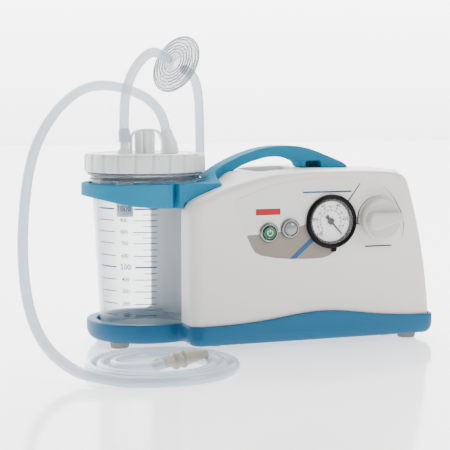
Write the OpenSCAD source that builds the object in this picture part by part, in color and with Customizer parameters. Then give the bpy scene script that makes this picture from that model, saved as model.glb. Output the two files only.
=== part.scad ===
// Portable surgical suction pump: a mains piston aspirator with a 1000 ml collection jar.
// Millimetres. X runs along the length to the right, Y to the back, Z up from the feet plane.
// The origin is the middle of the footprint. The jar stands at the left end.

/* [Jar] */
// Outer radius of the jar at its neck
jar_top_r = 54; // [53:0.5:54.5]
// Outer radius of the jar at its floor
jar_base_r = 46.5; // [44:0.5:47]
// Wall thickness of the jar
jar_wall = 2.5; // [2:0.5:3]
// Outer radius of the screw ring that closes the jar
ring_r = 61.5; // [61:0.5:63]
// Number of shallow scallops around the screw ring
ring_scallops = 22; // [16:1:24]

/* [Housing] */
// Width of the housing from front to back
housing_w = 156; // [152:1:158]
// Height of the housing's crown above the feet plane
housing_top = 175; // [172:1:178]
// Wall thickness of the housing
housing_wall = 2.5; // [2:0.5:3]
// Radius of the housing's upright corners
housing_corner = 12; // [8:1:14]

/* [Base] */
// Height of the rubber feet
foot_h = 6; // [5:0.5:7]
// Wall thickness of the base tray
tray_wall = 3; // [2.5:0.5:3.5]
// Height of the wave in the tray's upper edge
tray_wave = 9.5; // [6:0.5:11]

/* [Handle] */
// Width of the handle from front to back
handle_w = 26; // [24:1:34]
// Thickness of the handle arch
handle_t = 11.5; // [10:0.5:12]
// Outer radius of the collar that holds the jar
collar_r = 64.5; // [63.5:0.5:64.5]

/* [Front panel] */
// Radius of the vacuum gauge's bezel
gauge_r = 27; // [25:0.5:28]
// Radius of the regulator knob
knob_r = 21.5; // [19:0.5:22]
// How far the regulator knob stands out of the panel
knob_proud = 19; // [16:0.5:19]
// Radius of the switch and lamp bezels
bezel_r = 10; // [9:0.5:10.5]
// Travel of the switch button
button_travel = 3; // [2:0.5:3]

/* [Hoses] */
// Outer diameter of the hoses
hose_d = 10; // [9:0.5:10]
// Radius of the in-line filter
filter_r = 31; // [28:1:33]

/* [Pump] */
// Throw of the eccentric, half of the stroke
crank_throw = 3.5; // [2.5:0.5:3.5]
// Inner radius of the cylinder sleeve
bore_r = 20; // [20:0.5:21]
// Outer radius of the motor casing
motor_r = 42; // [40:1:43]

/* [Hidden] */

$fn = 64;
base_blue = [0.27, 0.50, 0.64];
handle_blue = [0.31, 0.60, 0.75];
shell_white = [0.87, 0.86, 0.84];
hose_clear = [0.86, 0.90, 0.94, 0.8];
jar_clear = [0.85, 0.92, 0.97, 0.4];
dark = [0.12, 0.12, 0.13];
steel = [0.72, 0.72, 0.74];

// Where the main pieces stand
jar_at = [-110.5, 17.5, 0];
jar_floor_z = 12.3;
jar_neck_z = 164;
jar_rim_z = 185.7;
ring_z = 174;
ring_h = 18.3;
lid_z = jar_rim_z + 1.3;
lid_top_z = 192;
port_at = jar_at + [-21.3, 0, 0];
spigot_at = [-40, 54.5, 0];
spigot_tip_z = 178;
housing_left = -89;
housing_right = 171.5;
front_y = -70.5;
back_y = front_y + housing_w;
panel_y = front_y - 0.4;
gauge_at = [56.5, 124.8];
knob_at = [109.2, 125.7];
switch_at = [-9.9, 115.7];
lamp_at = [12.5, 119.2];
tray_edge_z = 26;
tray_lip = 4;
well_r = 50.3;
handle_mid = 11.5;
shoulder_end = -51;
flare_r = 19;
notch_turn = -78.2;
tray_ring_r = 60.5;
recess_r = 58;
rebate_z = 139.2;
inlet_at = [132, 70];
crank_at = [18, 25, 66];
case_top_z = crank_at[2] + 29.6;
sleeve_h = 34;
plate_t = 3;
head_z = case_top_z + sleeve_h + plate_t;
motor_x = [46, 112];
filter_at = [-73.4, 29.5, 282];
filter_turn = [0, 66.3, 206.5];
coil_at = [-141, -136, 0];
coil_r = [41, 76];

// Rests and places of the smaller pieces
scoop_low = [-4, handle_mid - 36, 164];
scoop_high = [50, handle_mid + 36];
scoop_r = 5;
screw_posts = [[-62, front_y + 7], [120, front_y + 7], [-62, back_y - 7], [120, back_y - 7]];
handle_posts = [[89, handle_mid - 7], [89, handle_mid + 7]];
foot_places = [[-146, -12], [-146, 47], [150, -54], [150, 69]];
mount_places = [[0, -11], [0, 61], [104, -11], [104, 61]];
dial_r = gauge_r - 3.6;
needle_rest = -48;
button_r = 6.8;
internal_hose_d = 7;
thin_hose_d = 5;
piston_z = crank_at[2] + 50;
elbow_at = jar_at + [26.2, 0, 0];
elbow_tip = [elbow_at[0] - 4.1, jar_at[1], 214];
port_tip_z = 204;
grip_turn = 9;
knob_flutes = 8;
cage_z = 128;
cage_top_z = lid_z - 4;
float_h = 18;
float_tip_h = 3.4;
float_travel = 8;
connector_at = [-150, -152, 9];
connector_turn = [0, 86, 16];

// The housing's side outline, from the front left corner over the crown to the right
housing_outline = [[-89, 9.3], [-89, 144.5], [-73, 152], [-57.5, 158.5], [-38, 165], [-16.5, 170.5],
    [6, 173.7], [30, 174.8], [60, 175], [95, 174.6], [124, 173.2], [136, 171], [142, 167.5], [146, 161],
    [151, 144], [156, 125], [162, 97], [167, 66], [170, 40], [171.5, 9.3]];
// The handle seen from the front: its outer edge from the shoulder over the arch to the right foot
handle_outer = [[-56, 163.9], [-50, 163.9], [-49, 167.4], [-44, 172], [-38, 176.6], [-31, 180.8],
    [-24, 184.2], [-12, 189.4], [4, 194.6], [15, 196.9], [26, 198], [38, 198.2], [50, 197.6], [62, 195.2],
    [72, 191.7], [82, 187.8], [92, 183.8], [100, 180.4], [104.6, 177.4], [105.4, 175.6]];
// and its under edge, back from the right foot
handle_inner = [[54, 176], [50.5, 181], [44.5, 183.8], [38, 185.6], [31, 186.6], [24, 187], [18, 186.8],
    [11, 185.8], [4, 184], [-4, 181.6], [-12.5, 178.6], [-23, 172.8], [-31, 167.6], [-40, 161.5]];

// Routes of the hoses
jar_hose_route = [[-131.8, 17.5, 204], [-131.9, 17.5, 218], [-131.6, 17.2, 232], [-130.8, 16.8, 246],
    [-128.4, 16.2, 259], [-123.8, 15.6, 271], [-117.4, 15.2, 281.5], [-109.6, 15.4, 289.5],
    [-100.8, 17, 293.4], [-92, 20.2, 291], [-83.2, 24.6, 286.8]];
pump_hose_route = [[-63.6, 34.4, 277.2], [-55, 38.6, 272.6], [-48.8, 42.4, 265], [-45, 45.8, 254],
    [-42.8, 48.6, 241], [-41.4, 51, 226], [-40.5, 53.2, 209], [-40, 54.3, 193], [-40, 54.5, 178.3]];
patient_hose_route = [[-88.4, 17.5, 214], [-91, 18.4, 226.4], [-97.6, 21, 238.6], [-109, 24, 248.6],
    [-123, 26.4, 255], [-138, 27.6, 258.8], [-153, 25.6, 260], [-169, 20, 257.2], [-184, 12, 250.2],
    [-199, 2, 239.4], [-212, -8, 226.4], [-223, -18, 212], [-232, -28, 196], [-239, -39, 178.4],
    [-245, -52, 157.6], [-250, -66, 135], [-253.6, -80, 113.4], [-255.6, -94, 91], [-255.6, -107, 70.4],
    [-253.4, -119, 52.4], [-248.6, -131, 37], [-241, -143, 24.4], [-231.4, -155, 15.4], [-221, -166, 9.4]];
inlet_hose_route = [[-40, 54.5, 156], [-39.8, 54, 148], [-37.5, 51.5, 140], [-33, 46, 135], [-27, 39, 134.5],
    [-21, 32, 138], [-16, 26.8, 143], [-10.5, 25, 144.5]];
regulator_hose_route = [[109.2, -40.5, 118], [109, -30, 117.4], [104, -18, 117.4], [93, -5, 120],
    [79, 7, 127], [65, 18, 137], [56, 23.5, 143], [46.5, 25, 144.5]];
gauge_hose_route = [[56.5, -28, 124.8], [57.5, -21, 125], [64, -15, 125.4], [76, -13, 126.6], [88, -15, 128],
    [98, -22, 129.4], [103.2, -31, 130], [104.2, -40.5, 130.2]];
exhaust_hose_route = [[18, 53.5, 144.5], [18, 60, 144], [13, 67, 137], [3, 71, 120], [-8, 72, 100],
    [-18, 71, 80], [-26, 68, 62], [-30, 66, 51], [-30, 66, 42.5]];

function unit(v) = v / norm(v);
function tray_edge(x) = tray_edge_z + tray_wave * exp(-pow((x - 48) / 60, 2));

// A solid hose along a route, one ring of points at each of its points
module hose_along(route, d, sides = 10, ref = [0.3, 1, 0.2]) {
    n = len(route);
    rings = [for (i = [0:n - 1])
        let (t = unit(route[min(i + 1, n - 1)] - route[max(i - 1, 0)]),
            s = unit(cross(t, ref)), u = cross(s, t))
        for (k = [0:sides - 1]) route[i] + d / 2 * (cos(360 * k / sides) * s + sin(360 * k / sides) * u)];
    walls = [for (i = [0:n - 2], k = [0:sides - 1])
        let (a = i * sides + k, b = i * sides + (k + 1) % sides)
        each [[a, b, b + sides], [a, b + sides, a + sides]]];
    start_cap = [for (k = [sides - 1:-1:0]) k];
    end_cap = [for (k = [0:sides - 1]) (n - 1) * sides + k];
    polyhedron(points = rings, faces = concat([start_cap], walls, [end_cap]));
}

// Stands a shape on the front panel, its +Z pointing out towards the user
module on_panel(at, y = 0) {
    translate([at[0], front_y + y, at[1]]) rotate([90, 0, 0]) children();
}

module along_x(x, at) {
    translate([x, at[1], at[2]]) rotate([0, 90, 0]) children();
}

module rounded_block(low, high, r, z, h) {
    translate([low[0], low[1] + r, z]) cube([high[0] - low[0], high[1] - low[1] - 2 * r, h]);
    translate([low[0] + r, low[1], z]) cube([high[0] - low[0] - 2 * r, high[1] - low[1], h]);
    for (x = [low[0] + r, high[0] - r], y = [low[1] + r, high[1] - r])
        translate([x, y, z]) cylinder(r = r, h = h);
}

module side_outline(points) {
    translate([0, 100, 0]) rotate([90, 0, 0]) linear_extrude(200) polygon(points);
}

// The housing's outer form, drawn in by a wall thickness
module housing_form(inset) {
    middle = (housing_left + housing_right) / 2;
    half = (housing_right - housing_left) / 2;
    drawn = [for (p = housing_outline) [middle + (p[0] - middle) * (half - inset) / half,
        p[1] > 10 ? p[1] * (housing_top - inset) / 175 : p[1] - inset]];
    intersection() {
        side_outline(drawn);
        rounded_block([housing_left + inset, front_y + inset], [housing_right - inset, back_y - inset],
            housing_corner - inset, 0, 200);
    }
}

// What the jar and its collar take out of the housing, with a margin
module jar_recess(margin) {
    translate(jar_at) {
        cylinder(r = recess_r + margin, h = 200);
        translate([0, 0, rebate_z - margin]) cylinder(r = collar_r + 0.7 + margin, h = 100);
        cylinder(r = tray_ring_r + 0.5 + margin, h = tray_edge_z + 0.5);
    }
}

module finger_scoop(margin) {
    rounded_block([scoop_low[0] - margin, scoop_low[1] - margin],
        [scoop_high[0] + margin, scoop_high[1] + margin], scoop_r + margin, scoop_low[2] - margin, 30);
}

module upper_housing() color(shell_white) difference() {
    union() {
        difference() {
            housing_form(0);
            difference() {
                housing_form(housing_wall);
                jar_recess(housing_wall);
                finger_scoop(housing_wall);
            }
        }
        for (p = screw_posts) translate([p[0], p[1], 9.3]) cylinder(r = 5.2, h = 34);
    }
    jar_recess(0);
    finger_scoop(0);
    for (p = screw_posts) translate([p[0], p[1], 9]) cylinder(r = 1.8, h = 24);
    for (p = handle_posts) translate([p[0], p[1], 160]) cylinder(r = 2.2, h = 20);
    on_panel(gauge_at, 5) cylinder(r = gauge_r - 1.3, h = 10);
    on_panel(knob_at, 5) cylinder(r = 7.1, h = 10);
    for (p = [switch_at, lamp_at]) on_panel(p, 5) cylinder(r = bezel_r - 1.9, h = 10);
    translate([spigot_at[0], spigot_at[1], 150]) cylinder(r = 6.1, h = 30);
    translate([inlet_at[0] - 14, back_y - 10, inlet_at[1] - 20]) cube([28, 20, 46]);
    for (i = [0:8]) translate([-20 + i * 11, back_y - 10, 100]) cube([4, 20, 34]);
    for (i = [0:5]) translate([-48 + i * 8, back_y - 10, 24]) cube([3, 20, 22]);
}

module base_tray() color(base_blue) difference() {
    intersection() {
        union() {
            rounded_block([housing_left - 2, front_y - tray_lip], [housing_right + 3.5, back_y + tray_lip],
                housing_corner + 3, foot_h, 40);
            translate(jar_at + [0, 0, foot_h]) cylinder(r = tray_ring_r, h = tray_edge_z - foot_h - 1);
        }
        side_outline(concat([for (x = [-180:10:180]) [x, tray_edge(x)]], [[180, 0], [-180, 0]]));
    }
    difference() {
        rounded_block([housing_left - 0.5, front_y - tray_lip + tray_wall],
            [housing_right + 0.5, back_y + tray_lip - tray_wall], housing_corner, foot_h + tray_wall, 50);
        translate(jar_at) cylinder(r = tray_ring_r, h = 60);
    }
    translate(jar_at + [0, 0, 12]) cylinder(r = well_r, h = 60);
    translate(jar_at + [0, 0, tray_edge_z - 1]) cylinder(r = tray_ring_r + 0.01, h = 60);
    for (p = screw_posts) translate([p[0], p[1], 0]) {
        cylinder(r = 2.1, h = 20);
        cylinder(r = 4.4, h = foot_h + 0.8);
    }
    for (p = foot_places) translate([p[0], p[1], 0]) cylinder(r = 3, h = foot_h + 2);
}

module rubber_feet() color([0.80, 0.79, 0.76]) for (p = foot_places) translate([p[0], p[1], 0]) {
    rotate_extrude() polygon([[0, 0], [8.4, 0], [9, 0.8], [10, foot_h], [0, foot_h]]);
    translate([0, 0, foot_h - 1]) cylinder(r = 3, h = 3);
}

// Seen from above, the handle is a band that flares into the shoulder at its left end
module handle_plan() {
    translate([shoulder_end + flare_r - 1, handle_mid - handle_w / 2, 0]) cube([180, handle_w, 300]);
    difference() {
        translate([-60, jar_at[1] - collar_r, 0])
            cube([60 + shoulder_end + flare_r, 2 * collar_r, 300]);
        for (side = [-1, 1])
            translate([shoulder_end + flare_r, handle_mid + side * (handle_w / 2 + flare_r), 0]) {
                cylinder(r = flare_r, h = 300);
                translate([-flare_r, side > 0 ? 0 : -100, 0]) cube([100, 100, 300]);
            }
    }
}

module handle_collar() color(handle_blue) difference() {
    union() {
        // the collar ring, cut slanting below
        intersection() {
            translate(jar_at + [0, 0, 130]) cylinder(r = collar_r, h = 34);
            side_outline([[-180, 151], [-174, 150.2], [-155, 145.6], [-136, 141.8], [-111, 140.2],
                [-90, rebate_z + 0.3], [-40, rebate_z + 0.3], [-40, 164.2], [-140, 163.6], [-180, 162.2]]);
        }
        // ribs beside the cannula notch
        for (a = [-4.4, 4.4]) translate(jar_at) rotate([0, 0, notch_turn + a])
            translate([collar_r - 1.5, -1.3, 140.5]) cube([3.4, 2.6, 23.5]);
        difference() {
            union() {
                // the shoulder that lies on the housing
                translate([housing_left - 0.1, jar_at[1] - collar_r, 130])
                    cube([shoulder_end - housing_left + 0.1, 2 * collar_r, 33.9]);
                // the arch
                intersection() {
                    side_outline(concat(handle_outer, [[105.4, 170], [54, 170]], handle_inner, [[-56, 155]]));
                    handle_plan();
                }
            }
            translate(jar_at) cylinder(r = collar_r - 1, h = 163);
            housing_form(-0.05);
            // the pocket in the right foot's front side
            translate([58, handle_mid - handle_w / 2 - 1, 160]) cube([17, 16, 22]);
            for (p = handle_posts) translate([p[0], p[1], 160]) cylinder(r = 1.9, h = 20);
        }
    }
    translate(jar_at) cylinder(r = 56.2, h = 200);
    // the cannula notch
    translate(jar_at) rotate([0, 0, notch_turn]) translate([collar_r - 4.5, -3, 130]) cube([12, 6, 60]);
}

module housing_screws() color(steel) for (p = screw_posts) translate([p[0], p[1], foot_h + 0.8]) {
    mirror([0, 0, 1]) difference() {
        cylinder(r = 3.8, h = 2);
        translate([-3, -0.5, 1]) cube([6, 1, 2]);
        translate([-0.5, -3, 1]) cube([1, 6, 2]);
    }
    cylinder(r = 1.7, h = 20);
}

module handle_screws() color(steel) for (p = handle_posts) translate([p[0], p[1], 172.05]) {
    translate([0, 0, -2.4]) cylinder(r = 3.6, h = 2.4);
    cylinder(r = 1.8, h = 7);
}

module control_label() color([0.85, 0.85, 0.86]) difference() {
    on_panel([0, 0]) linear_extrude(0.4) polygon([[-47, 146.5], [-38, 126], [-33.6, 113.8], [-28, 102],
        [-24.5, 96.5], [-18, 93.2], [-4, 90.2], [12, 88.6], [28.7, 87.9], [78, 88.6], [120, 90.4],
        [128, 92.5], [134, 98], [137.5, 107], [139, 118], [136, 132], [128, 146], [119, 156.5], [104, 163.5],
        [85, 167], [60, 168.4], [25, 167.6], [-10, 161.2], [-30, 153.6]]);
    on_panel(gauge_at, 5) cylinder(r = gauge_r - 1.3, h = 10);
    on_panel(knob_at, 5) cylinder(r = 7.1, h = 10);
    for (p = [switch_at, lamp_at]) on_panel(p, 5) cylinder(r = bezel_r - 1.9, h = 10);
}

module gauge_case() color(dark) on_panel(gauge_at, 0) difference() {
    union() {
        translate([0, 0, 0.4]) cylinder(r = gauge_r, h = 4.2);
        translate([0, 0, 4.6]) cylinder(r = gauge_r - 1, h = 0.9);
        translate([0, 0, -26]) cylinder(r = gauge_r - 1.6, h = 27);
        translate([0, 0, 0.4]) linear_extrude(4.2)
            polygon([[0, 0], [gauge_r + 1.5, -18], [18, -gauge_r - 1.5]]);
    }
    translate([0, 0, -24]) cylinder(r = dial_r, h = 40);
    cylinder(r = 4.05, h = 60, center = true);
}

module gauge_dial() color([0.95, 0.95, 0.94]) on_panel(gauge_at, 0) difference() {
    translate([0, 0, -1]) cylinder(r = dial_r - 0.05, h = 0.8);
    translate([0, 0, -5]) cylinder(r = 1.2, h = 10);
}

module gauge_window() color([0.9, 0.95, 1, 0.3]) on_panel(gauge_at, 0)
    translate([0, 0, 3.4]) cylinder(r = dial_r - 0.05, h = 1.4);

// The curved tube that unbends under vacuum, with its threaded stem
module bourdon_tube() color([0.75, 0.60, 0.30]) on_panel(gauge_at, 0) {
    translate([0, 0, -14]) difference() {
        rotate_extrude() translate([17, 0]) square([2.4, 5]);
        translate([0, -40, -1]) cube([40, 40, 10]);
    }
    translate([14, -3, -23.9]) cube([6, 4, 14.9]);
    translate([-20, -2, -23.9]) cube([40, 5, 2.4]);
    translate([0, 0, -42.5]) cylinder(r = 4, h = 20);
}

module gauge_needle() color(dark) on_panel(gauge_at, 0) {
    translate([0, 0, -8]) cylinder(r = 0.9, h = 9.4);
    translate([0, 0, 0.6]) cylinder(r = 2.6, h = 1);
    rotate([0, 0, needle_rest]) translate([0, 0, 0.8]) linear_extrude(0.5)
        polygon([[-6.5, -1.2], [-6.5, 1.2], [15, 0.5], [19.5, 0], [15, -0.5]]);
}

module panel_bezel(at, hole) on_panel(at, 0) difference() {
    union() {
        translate([0, 0, 0.4]) rotate_extrude()
            polygon([[0, 0], [bezel_r, 0], [bezel_r, 1.4], [bezel_r - 1.5, 3.4], [0, 3.4]]);
        translate([0, 0, -7]) cylinder(r = bezel_r - 2.1, h = 8);
    }
    translate([0, 0, -20]) cylinder(r = hole, h = 40);
}

module switch_bezel() color(steel) panel_bezel(switch_at, button_r + 0.3);
module lamp_bezel() color(steel) panel_bezel(lamp_at, button_r);

module switch_body() color(dark) on_panel(switch_at, 0) {
    translate([0, 0, -31]) difference() {
        cylinder(r = bezel_r - 2.1, h = 26.9 - button_travel);
        translate([0, 0, 10]) cylinder(r = 3.4, h = 20);
    }
    for (x = [-4, 0, 4]) translate([x - 0.8, -1.6, -38]) cube([1.6, 3.2, 7.5]);
}

module switch_button() color([0.10, 0.45, 0.22]) on_panel(switch_at, 0) {
    translate([0, 0, -4]) cylinder(r = button_r, h = 8.6);
    translate([0, 0, 4.6]) cylinder(r = button_r - 1.2, h = 0.6);
    translate([0, 0, -15]) cylinder(r = 3, h = 12);
}

module lamp_lens() color([0.75, 0.75, 0.72]) on_panel(lamp_at, 0) {
    translate([0, 0, -6]) cylinder(r = button_r, h = 9);
    translate([0, 0, 3]) intersection() {
        translate([0, 0, -9.5]) sphere(r = 11.6);
        cylinder(r = button_r, h = 4);
    }
}

module regulator_body() color([0.75, 0.60, 0.30]) on_panel(knob_at, 0) difference() {
    union() {
        translate([0, 0, -20]) cylinder(r = 10, h = 17.4);
        translate([0, 0, -3]) cylinder(r = 6.9, h = 6.6);
        translate([0, -7.7, -30]) cylinder(r = 2.2, h = 12);
        translate([-5, 4.5, -30]) cylinder(r = 2.2, h = 12);
    }
    translate([0, 0, -12]) cylinder(r = 3.06, h = 30);
}

module regulator_knob() color([0.78, 0.78, 0.75]) on_panel(knob_at, 0) {
    translate([0, 0, -11.7]) cylinder(r = 3, h = 16);
    translate([0, 0, 4]) cylinder(r = knob_r, h = 6);
    translate([0, 0, 10]) rotate_extrude() polygon([[0, 0], [knob_r, 0], [knob_r - 1.5, 1.5], [0, 1.5]]);
    // the grip, a bar that narrows to the right
    rotate([0, 0, grip_turn]) hull() {
        translate([-10, 0, 11]) cylinder(r = 9.5, h = 1, $fn = 32);
        translate([-10, 0, 11]) cylinder(r = 8, h = knob_proud - 11.4, $fn = 32);
        translate([15, 0, 11]) cylinder(r = 5.4, h = 1, $fn = 24);
        translate([15, 0, 11]) cylinder(r = 4.4, h = knob_proud - 11, $fn = 24);
    }
}

module inlet_spigot() color([0.80, 0.80, 0.78]) translate([spigot_at[0], spigot_at[1], 0]) difference() {
    union() {
        translate([0, 0, 156]) cylinder(r = 3.6, h = spigot_tip_z - 156);
        translate([0, 0, 158]) cylinder(r = 6, h = 8);
        difference() {
            translate([0, 0, 158]) cylinder(r = 8, h = 9.6);
            translate([-spigot_at[0], -spigot_at[1], 0]) housing_form(-0.05);
        }
        for (z = [170, 174]) translate([0, 0, z]) cylinder(r1 = 4.6, r2 = 3.6, h = 3);
    }
    translate([0, 0, 100]) cylinder(r = 2.2, h = 100);
}

module power_inlet() color(dark) translate([inlet_at[0], back_y, inlet_at[1]]) difference() {
    union() {
        translate([-15.5, 0, -22]) cube([31, 2.2, 48]);
        translate([-13.8, -22, -19.8]) cube([27.6, 23, 45.6]);
    }
    translate([-12, -14, -17]) cube([24, 30, 16]);
    translate([-11, -16, 5]) cube([22, 30, 15]);
}

module inlet_pins() color(steel) translate([inlet_at[0], back_y, inlet_at[1] - 9]) {
    for (x = [-7, 0, 7]) translate([x - 1, -24, x == 0 ? 1 : -3]) cube([2, 22, 4]);
}

module fuse_drawer() color([0.2, 0.2, 0.21]) translate([inlet_at[0], back_y, inlet_at[1]]) difference() {
    translate([-10.8, -15.5, 5.2]) cube([21.6, 18, 14.6]);
    translate([-8, -13, 8]) cube([16, 12, 20]);
    translate([-5, 1.3, 17.6]) cube([10, 4, 4]);
}

module exhaust_muffler() color([0.55, 0.56, 0.58]) translate([-30, 66, 9.1]) {
    cylinder(r = 12, h = 25);
    translate([0, 0, 25]) cylinder(r1 = 12, r2 = 5, h = 3);
    translate([0, 0, 28]) cylinder(r = 3, h = 5.4);
}

module exhaust_hose() color(hose_clear) hose_along(exhaust_hose_route, internal_hose_d, 8, [1, 0.3, 0.1]);
module inlet_hose() color(hose_clear) hose_along(inlet_hose_route, internal_hose_d, 8, [0.5, -1, 0.1]);
module regulator_hose() color(hose_clear) hose_along(regulator_hose_route, thin_hose_d, 8, [0.1, 0.2, 1]);
module gauge_hose() color(hose_clear) hose_along(gauge_hose_route, thin_hose_d, 8, [0, 0.1, 1]);

module motor_casing() color([0.50, 0.51, 0.53]) along_x(motor_x[0], crank_at) difference() {
    cylinder(r = motor_r, h = motor_x[1] - motor_x[0]);
    translate([0, 0, 3]) cylinder(r = motor_r - 3, h = motor_x[1] - motor_x[0] - 6);
    translate([0, 0, -1]) cylinder(r = 11, h = 100);
    for (a = [0:45:315]) rotate([0, 0, a]) translate([30, 0, -1]) cylinder(r = 5, h = 100);
}

module motor_stator() color([0.62, 0.45, 0.28]) along_x(motor_x[0] + 10, crank_at) difference() {
    cylinder(r = motor_r - 3, h = 46);
    translate([0, 0, -1]) cylinder(r = 25, h = 60);
}

module motor_bearings() color(steel) for (x = [motor_x[0], motor_x[1] - 3.4])
    along_x(x, crank_at) difference() {
        cylinder(r = 11, h = 3.4);
        translate([0, 0, -1]) cylinder(r = 4.04, h = 6);
    }

module motor_rotor() color(steel) {
    along_x(2, crank_at) cylinder(r = 4, h = 130);
    along_x(motor_x[0] + 12, crank_at) cylinder(r = 24.4, h = 42);
}

module cooling_fan() color([0.25, 0.26, 0.28]) along_x(motor_x[1] + 4, crank_at) difference() {
    union() {
        cylinder(r = 9, h = 12);
        for (a = [0:40:320]) rotate([0, 0, a]) translate([6, 0, 6]) rotate([35, 0, 0])
            translate([0, -1, -5]) cube([28, 2, 10]);
    }
    translate([0, 0, -10]) cylinder(r = 4, h = 60);
}

module eccentric() color([0.60, 0.60, 0.62]) along_x(crank_at[0] - 5, crank_at) difference() {
    union() {
        translate([-crank_throw, 0, 0]) cylinder(r = 9, h = 10);
        translate([0, 0, 10]) cylinder(r = 8, h = 6);
        translate([0, 0, 16]) intersection() {
            cylinder(r = 24, h = 5);
            translate([0, -30, 0]) cube([60, 60, 20]);
        }
        translate([0, 0, 16]) cylinder(r = 8, h = 5);
    }
    translate([0, 0, -20]) cylinder(r = 4, h = 60);
}

module piston_rod() color([0.70, 0.71, 0.73]) difference() {
    union() {
        along_x(crank_at[0] - 4, crank_at + [0, 0, crank_throw]) cylinder(r = 13.5, h = 8);
        translate([crank_at[0] - 3, crank_at[1] - 6, crank_at[2] + 10])
            cube([6, 12, piston_z - crank_at[2] - 9]);
        translate([crank_at[0], crank_at[1], piston_z]) cylinder(r = bore_r - crank_throw - 0.5, h = 5);
        translate([crank_at[0], crank_at[1], piston_z + 5]) cylinder(r = bore_r - crank_throw - 2, h = 1.5);
    }
    along_x(0, crank_at + [0, 0, crank_throw]) cylinder(r = 9.05, h = 60);
}

module crankcase() color([0.58, 0.59, 0.61]) difference() {
    translate([crank_at[0] - 22, crank_at[1] - 30, 21.6]) cube([50, 60, case_top_z - 21.6]);
    translate([crank_at[0] - 23, crank_at[1] - 27, 24.6]) cube([48, 54, case_top_z - 27.6]);
    along_x(0, crank_at) cylinder(r = 12, h = 60);
    translate([crank_at[0], crank_at[1], 80]) cylinder(r = bore_r, h = 60);
}

module cylinder_sleeve() color(steel) translate([crank_at[0], crank_at[1], case_top_z]) difference() {
    union() {
        cylinder(r = bore_r + 3, h = sleeve_h);
        for (z = [5:5:30]) translate([0, 0, z]) cylinder(r = bore_r + 6, h = 1.6);
    }
    translate([0, 0, -1]) cylinder(r = bore_r, h = 60);
}

module valve_plate() color(steel) translate([crank_at[0], crank_at[1], head_z - plate_t]) difference() {
    translate([-23, -23, 0]) cube([46, 46, plate_t]);
    for (x = [-8, 8]) translate([x, 0, -1]) cylinder(r = 3, h = 6);
    for (x = [-19, 19], y = [-19, 19]) translate([x, y, -1]) cylinder(r = 2.1, h = 6);
}

module cylinder_head() color([0.60, 0.61, 0.63]) translate([crank_at[0], crank_at[1], head_z]) difference() {
    union() {
        translate([-23, -23, 0]) cube([46, 46, 16]);
        for (x = [-20:5:20]) translate([x - 0.8, -15, 16]) cube([1.6, 30, 4]);
        for (s = [-1, 1]) translate([s * 25.5, 0, 11.9]) rotate([0, 90, 0])
            cylinder(r = 3, h = 6, center = true);
        translate([0, 25.5, 11.9]) rotate([90, 0, 0]) cylinder(r = 3, h = 6, center = true);
    }
    for (s = [-1, 1]) translate([s * 11 - 9, -14, -1]) cube([18, 28, 9]);
    for (x = [-19, 19], y = [-19, 19]) translate([x, y, -1]) cylinder(r = 2.1, h = 30);
}

module head_screws() color([0.35, 0.35, 0.37]) translate([crank_at[0], crank_at[1], head_z + 16])
    for (x = [-19, 19], y = [-19, 19]) translate([x, y, 0]) {
        difference() {
            cylinder(r = 3.4, h = 3.6);
            translate([0, 0, 1.6]) cylinder(r = 1.6, h = 4, $fn = 6);
        }
        translate([0, 0, -19]) cylinder(r = 2, h = 19);
    }

module motor_cradle() color([0.45, 0.46, 0.48]) difference() {
    union() {
        translate([-8, -18, 19]) cube([120, 86, 2.5]);
        for (x = [58, 92]) translate([x, crank_at[1] - 34, 19]) cube([8, 68, 22]);
    }
    along_x(40, crank_at) cylinder(r = motor_r + 0.05, h = 90);
    for (p = mount_places) translate([p[0], p[1], 0]) cylinder(r = 2.5, h = 60);
}

module rubber_mounts() color(dark) for (p = mount_places) translate([p[0], p[1], 9]) {
    cylinder(r = 7, h = 10);
    cylinder(r = 2.5, h = 14);
    translate([0, 0, 12.5]) cylinder(r = 5, h = 2);
}

module jar() color(jar_clear) translate(jar_at) rotate_extrude() polygon([
    [0, jar_floor_z + 1], [20, jar_floor_z + 1], [22, jar_floor_z], [jar_base_r - 3, jar_floor_z],
    [jar_base_r - 0.8, jar_floor_z + 1], [jar_base_r, jar_floor_z + 3.4], [jar_top_r, jar_neck_z],
    [jar_top_r, 169.6], [58.6, 170.8], [58.6, 173], [jar_top_r, 173.8], [jar_top_r, jar_rim_z],
    [jar_top_r - 3, jar_rim_z], [jar_top_r - jar_wall, jar_neck_z - 4],
    [jar_base_r - jar_wall, jar_floor_z + 6], [jar_base_r - jar_wall - 3, jar_floor_z + 3.4],
    [0, jar_floor_z + 3.4]]);

module lid_gasket() color([0.70, 0.70, 0.68]) translate(jar_at + [0, 0, jar_rim_z]) difference() {
    cylinder(r = jar_top_r, h = 1.3);
    translate([0, 0, -1]) cylinder(r = jar_top_r - 3.2, h = 4);
}

module jar_lid() color([0.92, 0.93, 0.92]) difference() {
    union() {
        translate(jar_at) rotate_extrude() polygon([
            [0, lid_z], [jar_top_r - 6, lid_z], [jar_top_r - 6, lid_z - 6],
            [jar_top_r - 3.6, lid_z - 6], [jar_top_r - 3.6, lid_z], [jar_top_r + 1.6, lid_z],
            [jar_top_r + 1.6, lid_z + 1.6], [47, lid_z + 1.6], [46.4, lid_top_z], [0, lid_top_z]]);
        translate([port_at[0], port_at[1], lid_top_z]) {
            cylinder(r1 = 7.4, r2 = 5.4, h = 3);
            cylinder(r = 4, h = port_tip_z - lid_top_z);
            for (z = [3.6, 6, 8.4]) translate([0, 0, z]) cylinder(r1 = 5, r2 = 4, h = 2);
        }
        translate([port_at[0], port_at[1], lid_z - 4]) cylinder(r = 6.4, h = 5);
        translate([elbow_at[0], elbow_at[1], lid_z - 8]) cylinder(r = 5.4, h = 9);
    }
    translate([port_at[0], port_at[1], 170]) cylinder(r = 2.4, h = 60);
    translate([elbow_at[0], elbow_at[1], 170]) cylinder(r = 3.5, h = 60);
}

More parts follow.
